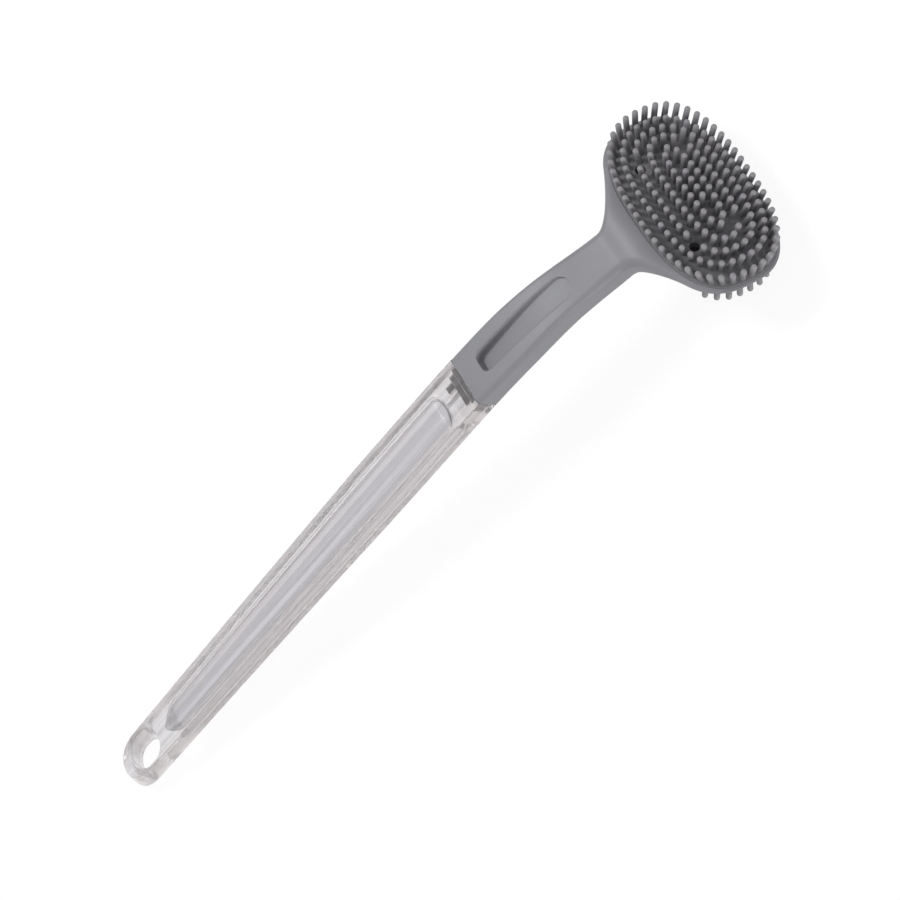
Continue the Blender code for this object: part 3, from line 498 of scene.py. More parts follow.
def handle_front(s, y):
    """Height of the handle's front face: its bow less the rounding of the tip."""
    return handle_bow(s, y) - fall(y, TIP_FRONT_ROUNDING)


def handle_back(s, y):
    """Height of the handle's back face: the bow less the thickness, with the tip rounded."""
    thicknesses = (s.tip_thickness, s.middle_thickness, s.joint_thickness)
    thickness = smooth_curve(HANDLE_THICKNESS_STATION_SHARES, thicknesses, y / s.length)
    return handle_bow(s, y) - thickness + fall(y, TIP_BACK_ROUNDING)


def slanted(x, y, z):
    """Leans cross-sections near the tip, so that the back reaches further out than the front."""
    lean = TIP_SLANT * (1 - ease((y - SLANT_FULL_LENGTH) / SLANT_FADE_LENGTH))
    return stacked(x, (y + lean * z), z)


def handle_body(s):
    """The handle's outer body: rounded sections carried from the tip to the joint."""
    tip = TIP_END_LENGTH * (1 - np.cos(np.linspace(TIP_FIRST_TURN_SHARE, 1, 28) * math.pi / 2))
    leaning = np.linspace(TIP_END_LENGTH, SLANT_FULL_LENGTH + SLANT_FADE_LENGTH, 30)[1:]
    body = np.linspace(leaning[-1], s.length, 60)[1:]
    y = np.concatenate([[0.0], tip, leaning, body])
    share = y / s.length
    x, z = rounded_section(handle_half_width(s, y), handle_front(s, y), handle_back(s, y),
                           between(*FRONT_EDGE_RADII, share), between(*BACK_EDGE_RADII, share))
    return skin("clear_handle", slanted(x, y[:, None], z))


def brush_points(piece):
    """A piece's points in the brush's own frame, one row each."""
    return moved(mesh_points(piece), BRUSH_TO_ROW.inverted())


def round_hole_end(points, end):
    """Which points lie round the inner end of a bristle pad's hole."""
    return np.linalg.norm(points - end, axis=1) < HOLE_REACH_SHARE * PAD_HOLE_RADIUS


def mark_painted_shade(s, piece, hole_ends):
    """Stores 1 on the points of the plug, which sit in the handle's socket, and round the bottoms
    of the holes, and 0 on the others. The material paints shade where there is 1."""
    points = brush_points(piece)
    x, y, z = points.T
    shaded = y < s.length + 2 * FIT_CLEARANCE
    shaded &= np.abs(x) < COLLAR_SIZE[0] / 2 + FIT_CLEARANCE
    shaded &= np.abs(z + s.joint_thickness / 2) < COLLAR_SIZE[2] / 2 + FIT_CLEARANCE
    for end in hole_ends:
        shaded |= round_hole_end(points, end)
    mark(piece, "in_shade", shaded.astype(float))


def mark_flow(s, piece):
    """Stores on each point where it lies in the way that the melt flowed: its place across as a
    share of the half width times the grip's, its place along, and its depth below the front."""
    x, y, z = brush_points(piece).T
    y = np.clip(y, FLOW_START_SHARE * TIP_END_LENGTH, s.length)
    across = x / handle_half_width(s, y) * s.grip_width / 2
    mark(piece, "melt_flow", stacked(across, y, z - handle_front(s, y)))


def stadium(half_width, half_length):
    """Stadium outlines in x and y, one row each: two half circles joined by straight sides."""
    turn = np.linspace(0, math.pi, 41)
    straight = (half_length - half_width)[:, None]
    half_width = half_width[:, None]
    x = half_width * np.cos(turn)
    y = straight + half_width * np.sin(turn)
    return np.concatenate([x, -x], axis=1), np.concatenate([y, -y], axis=1)


def eye_cutter(s):
    """The hanging eye's volume: a leaning stadium that widens towards the front by its draft, and
    at both faces along a quarter circle."""
    depth = EYE_RIM_RADIUS * (1 - EYE_STEEPEST_RIM * np.linspace(1, 0, 12))
    rim = EYE_RIM_RADIUS - np.sqrt(EYE_RIM_RADIUS ** 2 - (EYE_RIM_RADIUS - depth) ** 2)
    slope = EYE_STEEPEST_RIM / math.sqrt(1 - EYE_STEEPEST_RIM ** 2)
    centre = s.eye_start + s.eye_length / 2
    front = handle_front(s, centre)
    back = handle_back(s, centre)
    outer = rim[0] + slope * (EYE_RIM_RADIUS + depth[0])
    z = np.concatenate([[front + EYE_RIM_RADIUS], front - depth, (back + depth)[::-1],
                        [back - EYE_RIM_RADIUS]])
    wider = np.concatenate([[outer], rim, rim[::-1], [outer]])
    wider = wider + EYE_DRAFT_WIDTH * ((z - back) / (front - back) - 0.5)
    x, y = stadium(s.eye_width / 2 + wider, s.eye_length / 2 + wider)
    z = z[:, None]
    return skin("eye_cutter", stacked(x, centre + y + TIP_SLANT * z, z))


def hollow_cutter(s):
    """The handle's hollow: rounded sections that grow along a sine from the tip's end, shrink
    along a quarter circle at the joint's end and run on as a narrow channel."""
    start = HOLLOW_START_LENGTH + HOLLOW_NOSE_LENGTH
    end = s.length - HOLLOW_TO_JOINT_LENGTH - HOLLOW_END_RADIUS
    nose = np.linspace(0, 1, 24)
    straight = np.linspace(start, end, 60)[1:]
    turn = np.linspace(0, math.pi / 2, 20)[1:]
    y = np.concatenate([HOLLOW_START_LENGTH + HOLLOW_NOSE_LENGTH * nose, straight,
                        end + HOLLOW_END_RADIUS * np.sin(turn), [s.length - COLLAR_SIZE[1]]])
    share = np.concatenate([np.sin(nose * math.pi / 2), np.ones(len(straight)), np.cos(turn), [0.0]])
    middle = (handle_front(s, y) + handle_back(s, y)) / 2
    half_height = between(CHANNEL_HALF_WIDTH, handle_front(s, y) - middle - s.face_wall, share)
    half_width = between(CHANNEL_HALF_WIDTH, handle_half_width(s, y) - s.side_wall, share)
    x, z = rounded_section(half_width, middle + half_height, middle - half_height,
                           HOLLOW_CORNER_RADIUS, HOLLOW_CORNER_RADIUS)
    return skin("hollow_cutter", slanted(x, y[:, None], z))


def bar(name, middle_x, middle_z, half_width, half_height, start, end):
    """A bar along Y with rounded long edges."""
    x, z = rounded_section(np.full(2, half_width), middle_z + half_height, middle_z - half_height,
                           PLUG_CORNER_RADIUS, PLUG_CORNER_RADIUS)
    return skin(name, stacked(middle_x + x, np.array([[start], [end]]), z))


def plug(s, wider, start):
    """The neck's plug, or with a clearance the socket for it: a collar, a stub and a side key."""
    middle = -s.joint_thickness / 2
    collar_end = s.length - COLLAR_SIZE[1] - wider
    stub_end = collar_end - STUB_SIZE[1]
    sizes = ((0.0, COLLAR_SIZE, collar_end), (0.0, STUB_SIZE, stub_end),
             (KEY_SIZE[0] - STUB_SIZE[0] / 2, KEY_SIZE, stub_end - KEY_SIZE[1]))
    bars = [bar("plug", place, middle, size[0] / 2 + wider, size[2] / 2 + wider, start, end)
            for place, size, end in sizes]
    for other in bars[1:]:
        carve(bars[0], other, "UNION")
    return bars[0]


def neck_front(s, share):
    """Places in y and z on the neck's front line and its slope there. The line is the running
    sum of short steps, each turned down by the slope at its middle."""
    line = np.linspace(0, 1, NECK_LINE_STEPS + 1)
    slopes = s.neck.bend * smooth_curve(NECK_BEND_STATION_SHARES, NECK_BEND_SHARES, line)
    middles = (slopes[:-1] + slopes[1:]) / 2
    step = s.neck.length / NECK_LINE_STEPS
    y, z = (np.interp(share, line, np.concatenate([[0], np.cumsum(step * part)]))
            for part in (np.cos(middles), -np.sin(middles)))
    return s.handle.length + FIT_CLEARANCE + y, z, np.interp(share, line, slopes)


def on_head(s, x, along, lift):
    """Points in the brush's frame of places given across the head, along it and by their lift off
    the middle of the front bristles' tips."""
    tilt = s.neck.head_tilt
    y = s.handle.length + HEAD_REACH_LENGTH + lift * math.sin(tilt) + along * math.cos(tilt)
    z = -HEAD_DROP_HEIGHT + lift * math.cos(tilt) - along * math.sin(tilt)
    return stacked(x, y, z)


def way_out(front):
    """Which way along the lift a pad faces: 1 at the front and -1 at the back."""
    return 1 if front else -1


def dome(x, along, radii):
    """Fall of a shallow dome with one radius across and one along."""
    return x ** 2 / (2 * radii[0]) + along ** 2 / (2 * radii[1])


def pad_surface(s, x, along, front):
    """Lift of a pad's outer surface: a dome at the front, a dish turned down at the back."""
    if front:
        return -s.bristles.height - dome(x, along, FRONT_DOME_RADII)
    return -BACK_SURFACE_DEPTH + dome(x, along, BACK_DOME_RADII)


def head_sizes(s):
    """Half the head's width and depth: the foot of the rim bristles, the pad's margin, the
    clearance and the rim's wall."""
    rim = PAD_MARGIN_WIDTH + FIT_CLEARANCE + RIM_WALL_THICKNESS
    return (s.bristles.half_width * STRAND_FOOT_SHARES[0] + rim,
            s.bristles.half_depth * STRAND_FOOT_SHARES[1] + rim)


def head_chord(s, along):
    """Half the head's width along it: a squared oval, a little squarer towards the neck."""
    half_width, half_depth = head_sizes(s)
    squareness = np.where(along > 0, HEAD_SQUARENESS, HEAD_NEAR_SQUARENESS)
    return half_width * oval_width(along / half_depth, squareness)


def lens_section(s, half_width, along, past_middle):
    """Cross-sections of the head in x and lift, one row each: between the front and the back
    surface, drawn together at the rim by the root of one less a high power."""
    quarter = np.sin(np.linspace(0, 1, 25)[:-1] * math.pi / 2)
    shares = np.concatenate([quarter, quarter[::-1]])
    side = np.repeat([1.0, -1.0], len(quarter))
    x = half_width[:, None] * shares
    along = along[:, None]
    reach = shares + 0 * x
    if past_middle:
        whole_width, whole_depth = head_sizes(s)
        reach = oval_reach(x / whole_width, along / whole_depth, HEAD_SQUARENESS)
    front = pad_surface(s, x, along, True)
    back = pad_surface(s, x, along, False)
    fullness = np.sqrt(np.maximum(1 - np.minimum(reach, 1) ** HEAD_RIM_BLUNTNESS, 0))
    lift = (front + back) / 2 + side * fullness * (front - back) / 2
    return mirrored(x, lift)


def neck_section(half_width, thickness, to_fan):
    """Cross-sections of the neck in x and depth, with as many points as the head's. Its front
    edges grow rounder towards the fan."""
    front_radius = between(NECK_EDGE_RADIUS, FAN_EDGE_RADIUS, to_fan)
    return rounded_section(half_width, 0.0, -thickness, front_radius, BACK_EDGE_RADII[1])


def neck_rings(s):
    """The neck's cross-sections. The first lies in the joint's plane, the next ones turn square
    to the neck."""
    share = np.linspace(0, 1, 90)
    y, z, slope = neck_front(s, share)
    half_width = s.neck.width / 2 * smooth_curve(NECK_STATION_SHARES, NECK_WIDTH_SHARES, share)
    thickness = s.handle.joint_thickness * smooth_curve(NECK_THICKNESS_STATION_SHARES,
                                                        NECK_THICKNESS_SHARES, share)
    to_fan = ease((share - NECK_ROUNDING_START_SHARE) / NECK_ROUNDING_LENGTH_SHARE)
    x, depth = neck_section(half_width, thickness, to_fan)
    tilt = (slope * np.minimum(share / NECK_STATION_SHARES[1], 1))[:, None]
    return stacked(x, y[:, None] + depth * np.sin(tilt), z[:, None] + depth * np.cos(tilt))


def fan_rings(s):
    """The fan's cross-sections: its front line is a cubic from the neck's end to the head with a
    low bulge, and its section eases from the neck's to the head's."""
    *start, start_slope = neck_front(s, 1.0)
    near = -FAN_END_LENGTH
    top = pad_surface(s, 0.0, near, True)
    end = on_head(s, 0.0, near, top)[1:]
    reach = np.linalg.norm(end - start)
    end_slope = s.neck.head_tilt - math.atan(-near / FRONT_DOME_RADII[1])
    start_way, end_way = (reach * np.array((math.cos(slope), -math.sin(slope)))
                          for slope in (start_slope, end_slope))
    t = np.linspace(0, 1, 40)[1:-1, None]
    front = cubic(t, np.array(start), start_way, end, end_way)
    front[:, 1:] += FAN_BULGE_HEIGHT * (4 * t * (1 - t)) ** 2
    tilt = between(start_slope, s.neck.head_tilt, ease(t))
    neck_half = s.neck.width / 2 * NECK_WIDTH_SHARES[-1]
    half_width = between(neck_half, head_chord(s, near), t[:, 0] ** FAN_FLARE)
    thickness = s.handle.joint_thickness * NECK_THICKNESS_SHARES[-1]
    neck_x, neck_depth = neck_section(half_width, thickness, 1.0)
    head_x, head_lift = lens_section(s, half_width, np.full(len(t), near), False)
    x = between(neck_x, head_x, ease(t))
    depth = between(neck_depth, head_lift - top, ease(t))
    return stacked(x, front[:, :1] + depth * np.sin(tilt), front[:, 1:] + depth * np.cos(tilt))


def head_rings(s):
    """The head's cross-sections, up to its middle and on to its far end."""
    near = np.linspace(-FAN_END_LENGTH, 0, 36)
    shares = np.cos(np.linspace(*HEAD_TURN_SHARES, 44) * math.pi / 2)
    far = head_sizes(s)[1] * oval_width(shares, HEAD_SQUARENESS)
    rings = []
    for along, past_middle in ((near, False), (far, True)):
        x, lift = lens_section(s, head_chord(s, along), along, past_middle)
        rings.append(on_head(s, x, along[:, None], lift))
    return np.concatenate(rings)


def groove_cutter(s):
    """The long groove's volume. Across, it is a flat floor, a round corner, a steep wall and a
    round lip; along, it follows the neck, grows shallower and closes in a squared oval and a half
    circle."""
    radius = s.neck.groove_width / 2
    turn = np.linspace(FIRST_TURN_SHARE, 1, 30) * math.pi / 2
    ends = radius * (1 - np.cos(turn))
    middle = np.linspace(radius, s.neck.groove_length - radius, 50)[1:-1]
    place = np.concatenate([ends, middle, s.neck.groove_length - ends[::-1]])
    squared = radius * oval_width(np.cos(turn), GROOVE_NEAR_SQUARENESS)
    half = np.concatenate([squared, np.full(len(middle), radius), (radius * np.sin(turn))[::-1]])
    y = s.handle.length + FIT_CLEARANCE + GROOVE_START_LENGTH + place
    line_y, line_z, _ = neck_front(s, np.linspace(0, 1, NECK_LINE_STEPS))
    front = np.interp(y, line_y, line_z)[:, None]
    share = (place / s.neck.groove_length)[:, None]
    depth = between(*GROOVE_DEPTHS, share)
    half = half[:, None] * between(GROOVE_NEAR_WIDTH_SHARE, 1, share)
    corner = np.minimum(GROOVE_FLOOR_RADIUS, GROOVE_ROUNDING_SHARE * np.minimum(depth, half))
    lip = np.minimum(GROOVE_LIP_RADIUS, GROOVE_ROUNDING_SHARE * depth)
    bend = np.linspace(0, math.pi / 2, 6)
    x = np.concatenate([np.zeros_like(half), half - corner * (1 - np.sin(bend)),
                        half + lip * (1 - np.cos(bend)), half + 2 * lip], axis=1)
    z = np.concatenate([-depth, -depth + corner * (1 - np.cos(bend)), -lip * (1 - np.sin(bend)),
                        lip], axis=1)
    x = np.concatenate([-x[:, :0:-1], x], axis=1)
    z = np.concatenate([z[:, :0:-1], z], axis=1)
    return skin("groove_cutter", stacked(x, y[:, None], front + z))


def round_angles(count):
    """So many angles, evenly spaced round a circle."""
    return np.arange(count) * 2 * math.pi / count


def oval(half_width, half_depth, squareness, count, start=0.0):
    """Points evenly spaced round a squared oval, from the neck's side round by +x, the first one
    at the given share of the spacing."""
    turn = np.linspace(0, 2 * math.pi, OVAL_POINTS + 1)
    x, along = (half * np.sign(wave) * np.abs(wave) ** (2 / squareness)
                for half, wave in ((half_width, np.sin(turn)), (-half_depth, np.cos(turn))))
    run = np.concatenate([[0], np.cumsum(np.hypot(np.diff(x), np.diff(along)))])
    places = (np.arange(count) + start) % count * run[-1] / count
    return np.interp(places, run, x), np.interp(places, run, along)


def tip_oval(s, front):
    """Half width and half depth of the oval through a pad's rim bristles' tips, and its middle."""
    if front:
        return s.bristles.half_width, s.bristles.half_depth, 0.0
    return (s.bristles.half_width - BACK_TIP_STEPS[0], s.bristles.half_depth - BACK_TIP_STEPS[1],
            BACK_PAD_OFFSET)


def pad_outline(s, front):
    """Half width, half depth, squareness and middle of a pad's outline."""
    half_width, half_depth, centre = tip_oval(s, front)
    squareness = (FRONT_RING_SQUARENESS if front else BACK_RING_SQUARENESS)[0]
    return (half_width * STRAND_FOOT_SHARES[0] + PAD_MARGIN_WIDTH,
            half_depth * STRAND_FOOT_SHARES[1] + PAD_MARGIN_WIDTH, squareness, centre)


def pad_underside(s, x, along, front, deeper):
    """Lift of a pad's underside, thicker in its middle, or with a clearance of its seat."""
    half_width, half_depth, squareness, centre = pad_outline(s, front)
    reach = np.minimum(oval_reach(x / half_width, (along - centre) / half_depth, squareness), 1)
    thickness = between(PAD_EDGE_THICKNESS, PAD_CENTRE_THICKNESS, 1 - reach ** 2)
    return pad_surface(s, x, along, front) - way_out(front) * (thickness + deeper)


def pad_rings(s, front, shares, wider):
    """Places on ovals that shrink from a pad's outline to its middle by the given shares."""
    half_width, half_depth, squareness, centre = pad_outline(s, front)
    x, along = oval(half_width + wider, half_depth + wider, squareness, PAD_OUTLINE_POINTS)
    return shares[:, None] * x, centre + shares[:, None] * along


def seat_cutter(s, front):
    """The volume that a pad takes out of the head, with its clearance, open to the outside."""
    x, along = pad_rings(s, front, np.linspace(FIRST_TURN_SHARE, 1, 16), FIT_CLEARANCE)
    inside = on_head(s, x, along, pad_underside(s, x, along, front, FIT_CLEARANCE))
    lift = pad_surface(s, x[-1:], along[-1:], front) + way_out(front) * s.bristles.height
    return skin("seat_cutter", np.concatenate([inside, on_head(s, x[-1:], along[-1:], lift)]))


def ring_places(s, front):
    """Where tips in a pad's rings can be, in x and along round its middle, by their ring and their
    number in it."""
    half_width, half_depth, _ = tip_oval(s, front)
    counts = FRONT_RING_COUNTS if front else BACK_RING_COUNTS
    squareness = FRONT_RING_SQUARENESS if front else BACK_RING_SQUARENESS
    places = {}
    for ring, count in enumerate(counts):
        start = 0.0 if front or ring else BACK_RIM_PITCH_SHARE
        x, along = oval(half_width * RING_WIDTH_SHARES[ring], half_depth * RING_DEPTH_SHARES[ring],
                        squareness[ring], count, start)
        places.update({(ring, k): (x[k], along[k]) for k in range(count)})
    return places


def at_foot(x, along, centre):
    """Where a bristle or a hole stands on its pad, from its place in the tips' rings."""
    return x * STRAND_FOOT_SHARES[0], along * STRAND_FOOT_SHARES[1] + centre


def hole_places(s, front):
    """Where a pad's holes are, in x and along."""
    places = ring_places(s, front)
    centre = tip_oval(s, front)[2]
    holes = FRONT_HOLE_PLACES if front else BACK_HOLE_PLACES
    return [at_foot(*places[hole], centre) for hole in holes]


def strand_places(s, front):
    """Where a pad's bristles are: x, along and ring, one row each. They fill the middle row and the
    rings, apart from the holes, two bare places and the back rim's side towards the neck."""
    bare = FRONT_HOLE_PLACES + FRONT_BARE_PLACES if front else BACK_HOLE_PLACES
    rim_start = -math.inf if front else BACK_RIM_BARE_LENGTH - tip_oval(s, front)[1]
    tips = [(x, along, place[0]) for place, (x, along) in ring_places(s, front).items()
            if place not in bare and (place[0] > 0 or along >= rim_start)]
    row = (np.arange(MIDDLE_ROW_COUNT) - (MIDDLE_ROW_COUNT - 1) / 2) * MIDDLE_ROW_PITCH
    return np.array(tips + [(x, 0.0, len(RING_WIDTH_SHARES)) for x in row])


def strand_tips(s, tips, front):
    """Where the bristles' tips are: on a shallow dome. The front's rim is a little taller, most at
    its far corners, turned a little and drawn in at its far side. The back is taller at its ends."""
    x, along, ring = tips.T
    side_share = np.abs(x) / s.bristles.half_width
    if not front:
        lift = dome(x, along, BACK_TIP_DOME_RADII) - BACK_SURFACE_DEPTH - s.bristles.height
        return x, along, lift - STRAND_NOSE_HEIGHT - BACK_SIDE_STRAND_HEIGHT * side_share ** 2
    far_share = np.maximum(along / s.bristles.half_depth, 0)
    corner_share = 2 * far_share * side_share
    rise = np.where(ring == 0, FRONT_RIM_STRAND_HEIGHT + FAR_RIM_STRAND_HEIGHT * corner_share, 0.0)
    lift = rise - dome(x, along, FRONT_TIP_DOME_RADII) + STRAND_NOSE_HEIGHT
    pull = FAR_RIM_PULL_LENGTH * far_share ** 2
    cosine = math.cos(FRONT_RIM_TURN)
    sine = math.sin(FRONT_RIM_TURN)
    turned_x = np.where(ring == 0, x * cosine + along * sine, x)
    turned_along = np.where(ring == 0, along * cosine - x * sine - pull, along)
    return turned_x, turned_along, lift


def strand_axes(s, front):
    """Where a pad's bristles stand, and the ways from their feet to their tips."""
    tips = strand_places(s, front)
    centre = tip_oval(s, front)[2]
    x, along = at_foot(tips[:, 0], tips[:, 1], centre)
    foot = on_head(s, x, along, pad_surface(s, x, along, front))
    x, along, lift = strand_tips(s, tips, front)
    return foot, on_head(s, x, along + centre, lift) - foot


def strand_outline(s):
    """Radii and heights of a bristle's levels, 0 where a height is counted from the foot and 1
    where it is from the start of the dome, and the dome's height."""
    radius = s.bristles.diameter / 2 * STRAND_FULLNESS_SHARE
    nose = radius * STRAND_TIP_SHARE
    turn = np.array(STRAND_DOME_TURN_SHARES) * math.pi / 2
    dome_height = STRAND_DOME_SHARE * nose
    radii = np.concatenate([radius * np.array(STRAND_FLARE_WIDTH_SHARES), nose * np.cos(turn)])
    heights = np.concatenate([radius * np.array(STRAND_FLARE_HEIGHT_SHARES),
                              dome_height * np.sin(turn)])
    from_dome = np.repeat([0, 1], (len(STRAND_FLARE_HEIGHT_SHARES), len(turn)))
    return radii, heights, from_dome, dome_height


def strands(s, front):
    """Points and faces of all bristles of a pad, and the points' shares of its height: round bars
    from foot to tip, flared at the foot and closed by a dome. A bar's points are its axis plus its
    radius round it."""
    foot, axis = strand_axes(s, front)
    length = np.linalg.norm(axis, axis=1, keepdims=True)
    axis /= length
    across = np.cross(axis, (0.0, 0.0, 1.0) if front else (1.0, 0.0, 0.0))
    across /= np.linalg.norm(across, axis=1, keepdims=True)
    upright = np.cross(axis, across)
    radii, heights, from_dome, dome_height = strand_outline(s)
    along_axis = heights + from_dome * (length - dome_height)
    angle = round_angles(STRAND_SIDES)
    points = (foot[:, None, None] + along_axis[:, :, None, None] * axis[:, None, None]
              + (radii[:, None] * np.cos(angle))[None, :, :, None] * across[:, None, None]
              + (radii[:, None] * np.sin(angle))[None, :, :, None] * upright[:, None, None])
    one = outward(points[0].reshape(-1, 3), ring_faces(len(heights), len(angle)))
    size = len(heights) * len(angle)
    faces = [[corner + k * size for corner in face] for k in range(len(foot)) for face in one]
    height_share = np.clip(along_axis / length, PAD_HEIGHT_SHARE, 1)
    return points.reshape(-1, 3), faces, np.repeat(height_share, len(angle), axis=1).ravel()


def pad_slab(s, name, front):
    """The pad's backing: its outer surface, a round edge and its underside, with its holes."""
    edge = np.linspace(0, math.pi / 2, 6)[1:]
    rounding = PAD_EDGE_RADIUS / pad_outline(s, front)[0]
    flat = np.linspace(PAD_FIRST_RING_SHARE, 1 - rounding, 26)
    wider = FIT_CLEARANCE - PAD_GAP_WIDTH
    x, along = pad_rings(s, front, np.concatenate([flat, 1 - rounding * (1 - np.sin(edge))]), wider)
    drop = np.concatenate([np.zeros(len(flat)), PAD_EDGE_RADIUS * (1 - np.cos(edge))])[:, None]
    top = on_head(s, x, along, pad_surface(s, x, along, front) - way_out(front) * drop)
    x, along = pad_rings(s, front, np.linspace(1, PAD_FIRST_RING_SHARE, 14), wider)
    low = on_head(s, x, along, pad_underside(s, x, along, front, 0.0))
    slab = skin(name, np.concatenate([top, low]))
    for place in hole_places(s, front):
        carve(slab, hole_cutter(s, *place, front, PAD_CENTRE_THICKNESS + FIT_CLEARANCE))
    return slab


def slab_heights(s, slab, front):
    """A slab's value of the height share: the foot's, and nothing round its holes' inner ends, where
    the material paints its darkest shade.
    """
    points = brush_points(slab)
    values = np.full(len(points), PAD_HEIGHT_SHARE)
    for x, along in hole_places(s, front):
        end = on_head(s, x, along, pad_underside(s, x, along, front, 0.0))
        values[round_hole_end(points, end)] = 0.0
    return values


def hole_cutter(s, x, along, front, depth):
    """A round bar square to the head, with a small round lip where it leaves the surface."""
    angle = round_angles(HOLE_SIDES)
    levels = np.array([-depth, *(PAD_HOLE_RADIUS * np.array(HOLE_LIP_HEIGHT_SHARES))])
    radii = PAD_HOLE_RADIUS * (1 + np.array([0.0, *HOLE_LIP_WIDTH_SHARES]))
    lift = pad_surface(s, x, along, front) + way_out(front) * levels
    rings = on_head(s, x + radii[:, None] * np.cos(angle), along + radii[:, None] * np.sin(angle),
                    lift[:, None])
    return skin("hole_cutter", rings)


def finish_piece(piece, node, material, sharpest=SHARPEST_ANGLE):
    """Gives a piece its material and smooth shading between its sharp edges, makes it ride on the
    brush and stand for its solid."""
    piece.data.materials.clear()
    piece.data.materials.append(material)
    piece.data.shade_smooth()
    piece.data.set_sharp_from_angle(angle=sharpest)
    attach(piece, "root")
    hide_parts(node)


def add_thick_places(material, s, split):
    """Adds nodes that tell where the clear plastic is thick, from a split place in the melt's flow:
    the solid end at the joint without its sides, and that end together with all the sides."""
    across = add_node(material, "ShaderNodeMath", {"operation": "ABSOLUTE"}, {0: (split, "X")})
    side = add_node(material, "ShaderNodeMapRange", {"From Min": 0.0070, "From Max": 0.0114},
                    {"Value": (across, "Value")})
    start = s.length - HOLLOW_TO_JOINT_LENGTH
    solid = add_node(material, "ShaderNodeMapRange", {"From Min": start, "From Max": start + 0.002},
                     {"Value": (split, "Y")})
    return [(add_node(material, "ShaderNodeMath", {"operation": operation, "use_clamp": True},
                      {0: (solid, "Result"), 1: (side, "Result")}), "Value")
            for operation in ("SUBTRACT", "MAXIMUM")]


def clear_moulded_plastic(s):
    """Clear polystyrene, injection moulded. It looks grey against white, with long soft streaks
    along the way that the melt flowed: a faint relief where its walls swell and thin, and painted shade
    that darkens its tint along them."""
    material, shader = new_material("clear_moulded_polystyrene",
                                    {"Transmission Weight": 0.85, "IOR": 1.45})
    place = add_node(material, "ShaderNodeAttribute", {"attribute_name": "melt_flow"})
    # Flow streaks are about 3 mm apart across the handle, with finer ones between, and run along
    # most of it
    lie = add_node(material, "ShaderNodeMapping", {"Scale": (340.0, 2.2, 160.0)},
                   {"Vector": (place, "Vector")})
    streaks = add_node(material, "ShaderNodeTexNoise", {"Scale": 1.0, "Detail": 4.0, "Roughness": 0.6},
                       {"Vector": (lie, "Vector")})
    # Painted shade: the streaks darken the clear tint by up to a third
    tint = add_node(material, "ShaderNodeValToRGB",
                    {"stops": shades(s.colour, ((0.40, 0.68), (0.56, 1.0)))}, {"Fac": (streaks, "Fac")})
    # The solid end at the joint is murky. It is a warmer grey too, as the thick sides are. Where a
    #     wall turns away from view, painted shade makes it darker and warmer, standing in for light
    #     that grazes a wall and runs a long way through the plastic.
    split = add_node(material, "ShaderNodeSeparateXYZ", links={"Vector": (place, "Vector")})
    middle, thick = add_thick_places(material, s, split)
    edge = add_node(material, "ShaderNodeLayerWeight", {"Blend": 0.28})
    colour = (tint, "Color")
    for factor, filter_colour in ((middle, (0.84, 0.86, 0.88)), (thick, (0.97, 0.93, 0.905)),
                                  ((edge, "Facing"), (0.90, 0.87, 0.855))):
        layer = add_node(material, "ShaderNodeMix", {"data_type": "RGBA", "blend_type": "MULTIPLY",
                                                     MIX_OVER: (*filter_colour, 1.0)},
                         {MIX_FACTOR: factor, MIX_UNDER: colour})
        colour = (layer, MIX_RESULT)
    # The solid end round the eye is less polished, so what lies behind it blurs
    polish = add_node(material, "ShaderNodeMapRange", {"From Min": 0.040, "From Max": 0.064,
                                                       "To Min": 0.22, "To Max": 0.13},
                      {"Value": (split, "Y")})
    relief = add_node(material, "ShaderNodeBump", {"Strength": 0.25, "Distance": 0.0002},
                      {"Height": (streaks, "Fac")})
    wire(material, shader, {"Base Color": colour, "Roughness": (polish, "Result"),
                            "Normal": (relief, "Normal")})
    return material


def grey_moulded_plastic(colour):
    """Polypropylene, injection moulded in a finely eroded mould: a matte grey with a faint grain,
    slightly uneven in its gloss and its tone, with painted shade that darkens it where no light gets."""
    material, shader = new_material("grey_moulded_polypropylene", {"IOR": 1.49})
    place = add_node(material, "ShaderNodeTexCoord")
    # Mould grain is about 0.15 mm, drawn at 0.45 mm so that it shows
    grain = add_node(material, "ShaderNodeTexNoise", {"Scale": 2200.0, "Detail": 2.0},
                     {"Vector": (place, "Object")})
    # Flow shade varies over about 30 mm
    flow = add_node(material, "ShaderNodeTexNoise", {"Scale": 34.0, "Detail": 3.0},
                    {"Vector": (place, "Object")})
    tint = add_node(material, "ShaderNodeValToRGB",
                    {"stops": shades(colour, ((0.35, 0.94), (0.65, 1.03)))}, {"Fac": (flow, "Fac")})
    # Painted shade: the plug and the holes' bottoms sit in the dark, so their colour is darkened
    in_shade = add_node(material, "ShaderNodeAttribute", {"attribute_name": "in_shade"})
    darker = add_node(material, "ShaderNodeMapRange", {"To Min": 1.0, "To Max": 0.10},
                      {"Value": (in_shade, "Fac")})
    shaded = add_node(material, "ShaderNodeVectorMath", {"operation": "SCALE"},
                      {"Vector": (tint, "Color"), "Scale": (darker, "Result")})
    gloss = add_node(material, "ShaderNodeMapRange", {"To Min": 0.40, "To Max": 0.54},
                     {"Value": (grain, "Fac")})
    relief = add_node(material, "ShaderNodeBump", {"Strength": 0.12, "Distance": 0.00005},
                      {"Height": (grain, "Fac")})
    wire(material, shader, {"Base Color": (shaded, "Vector"), "Roughness": (gloss, "Result"),
                            "Normal": (relief, "Normal")})
    return material


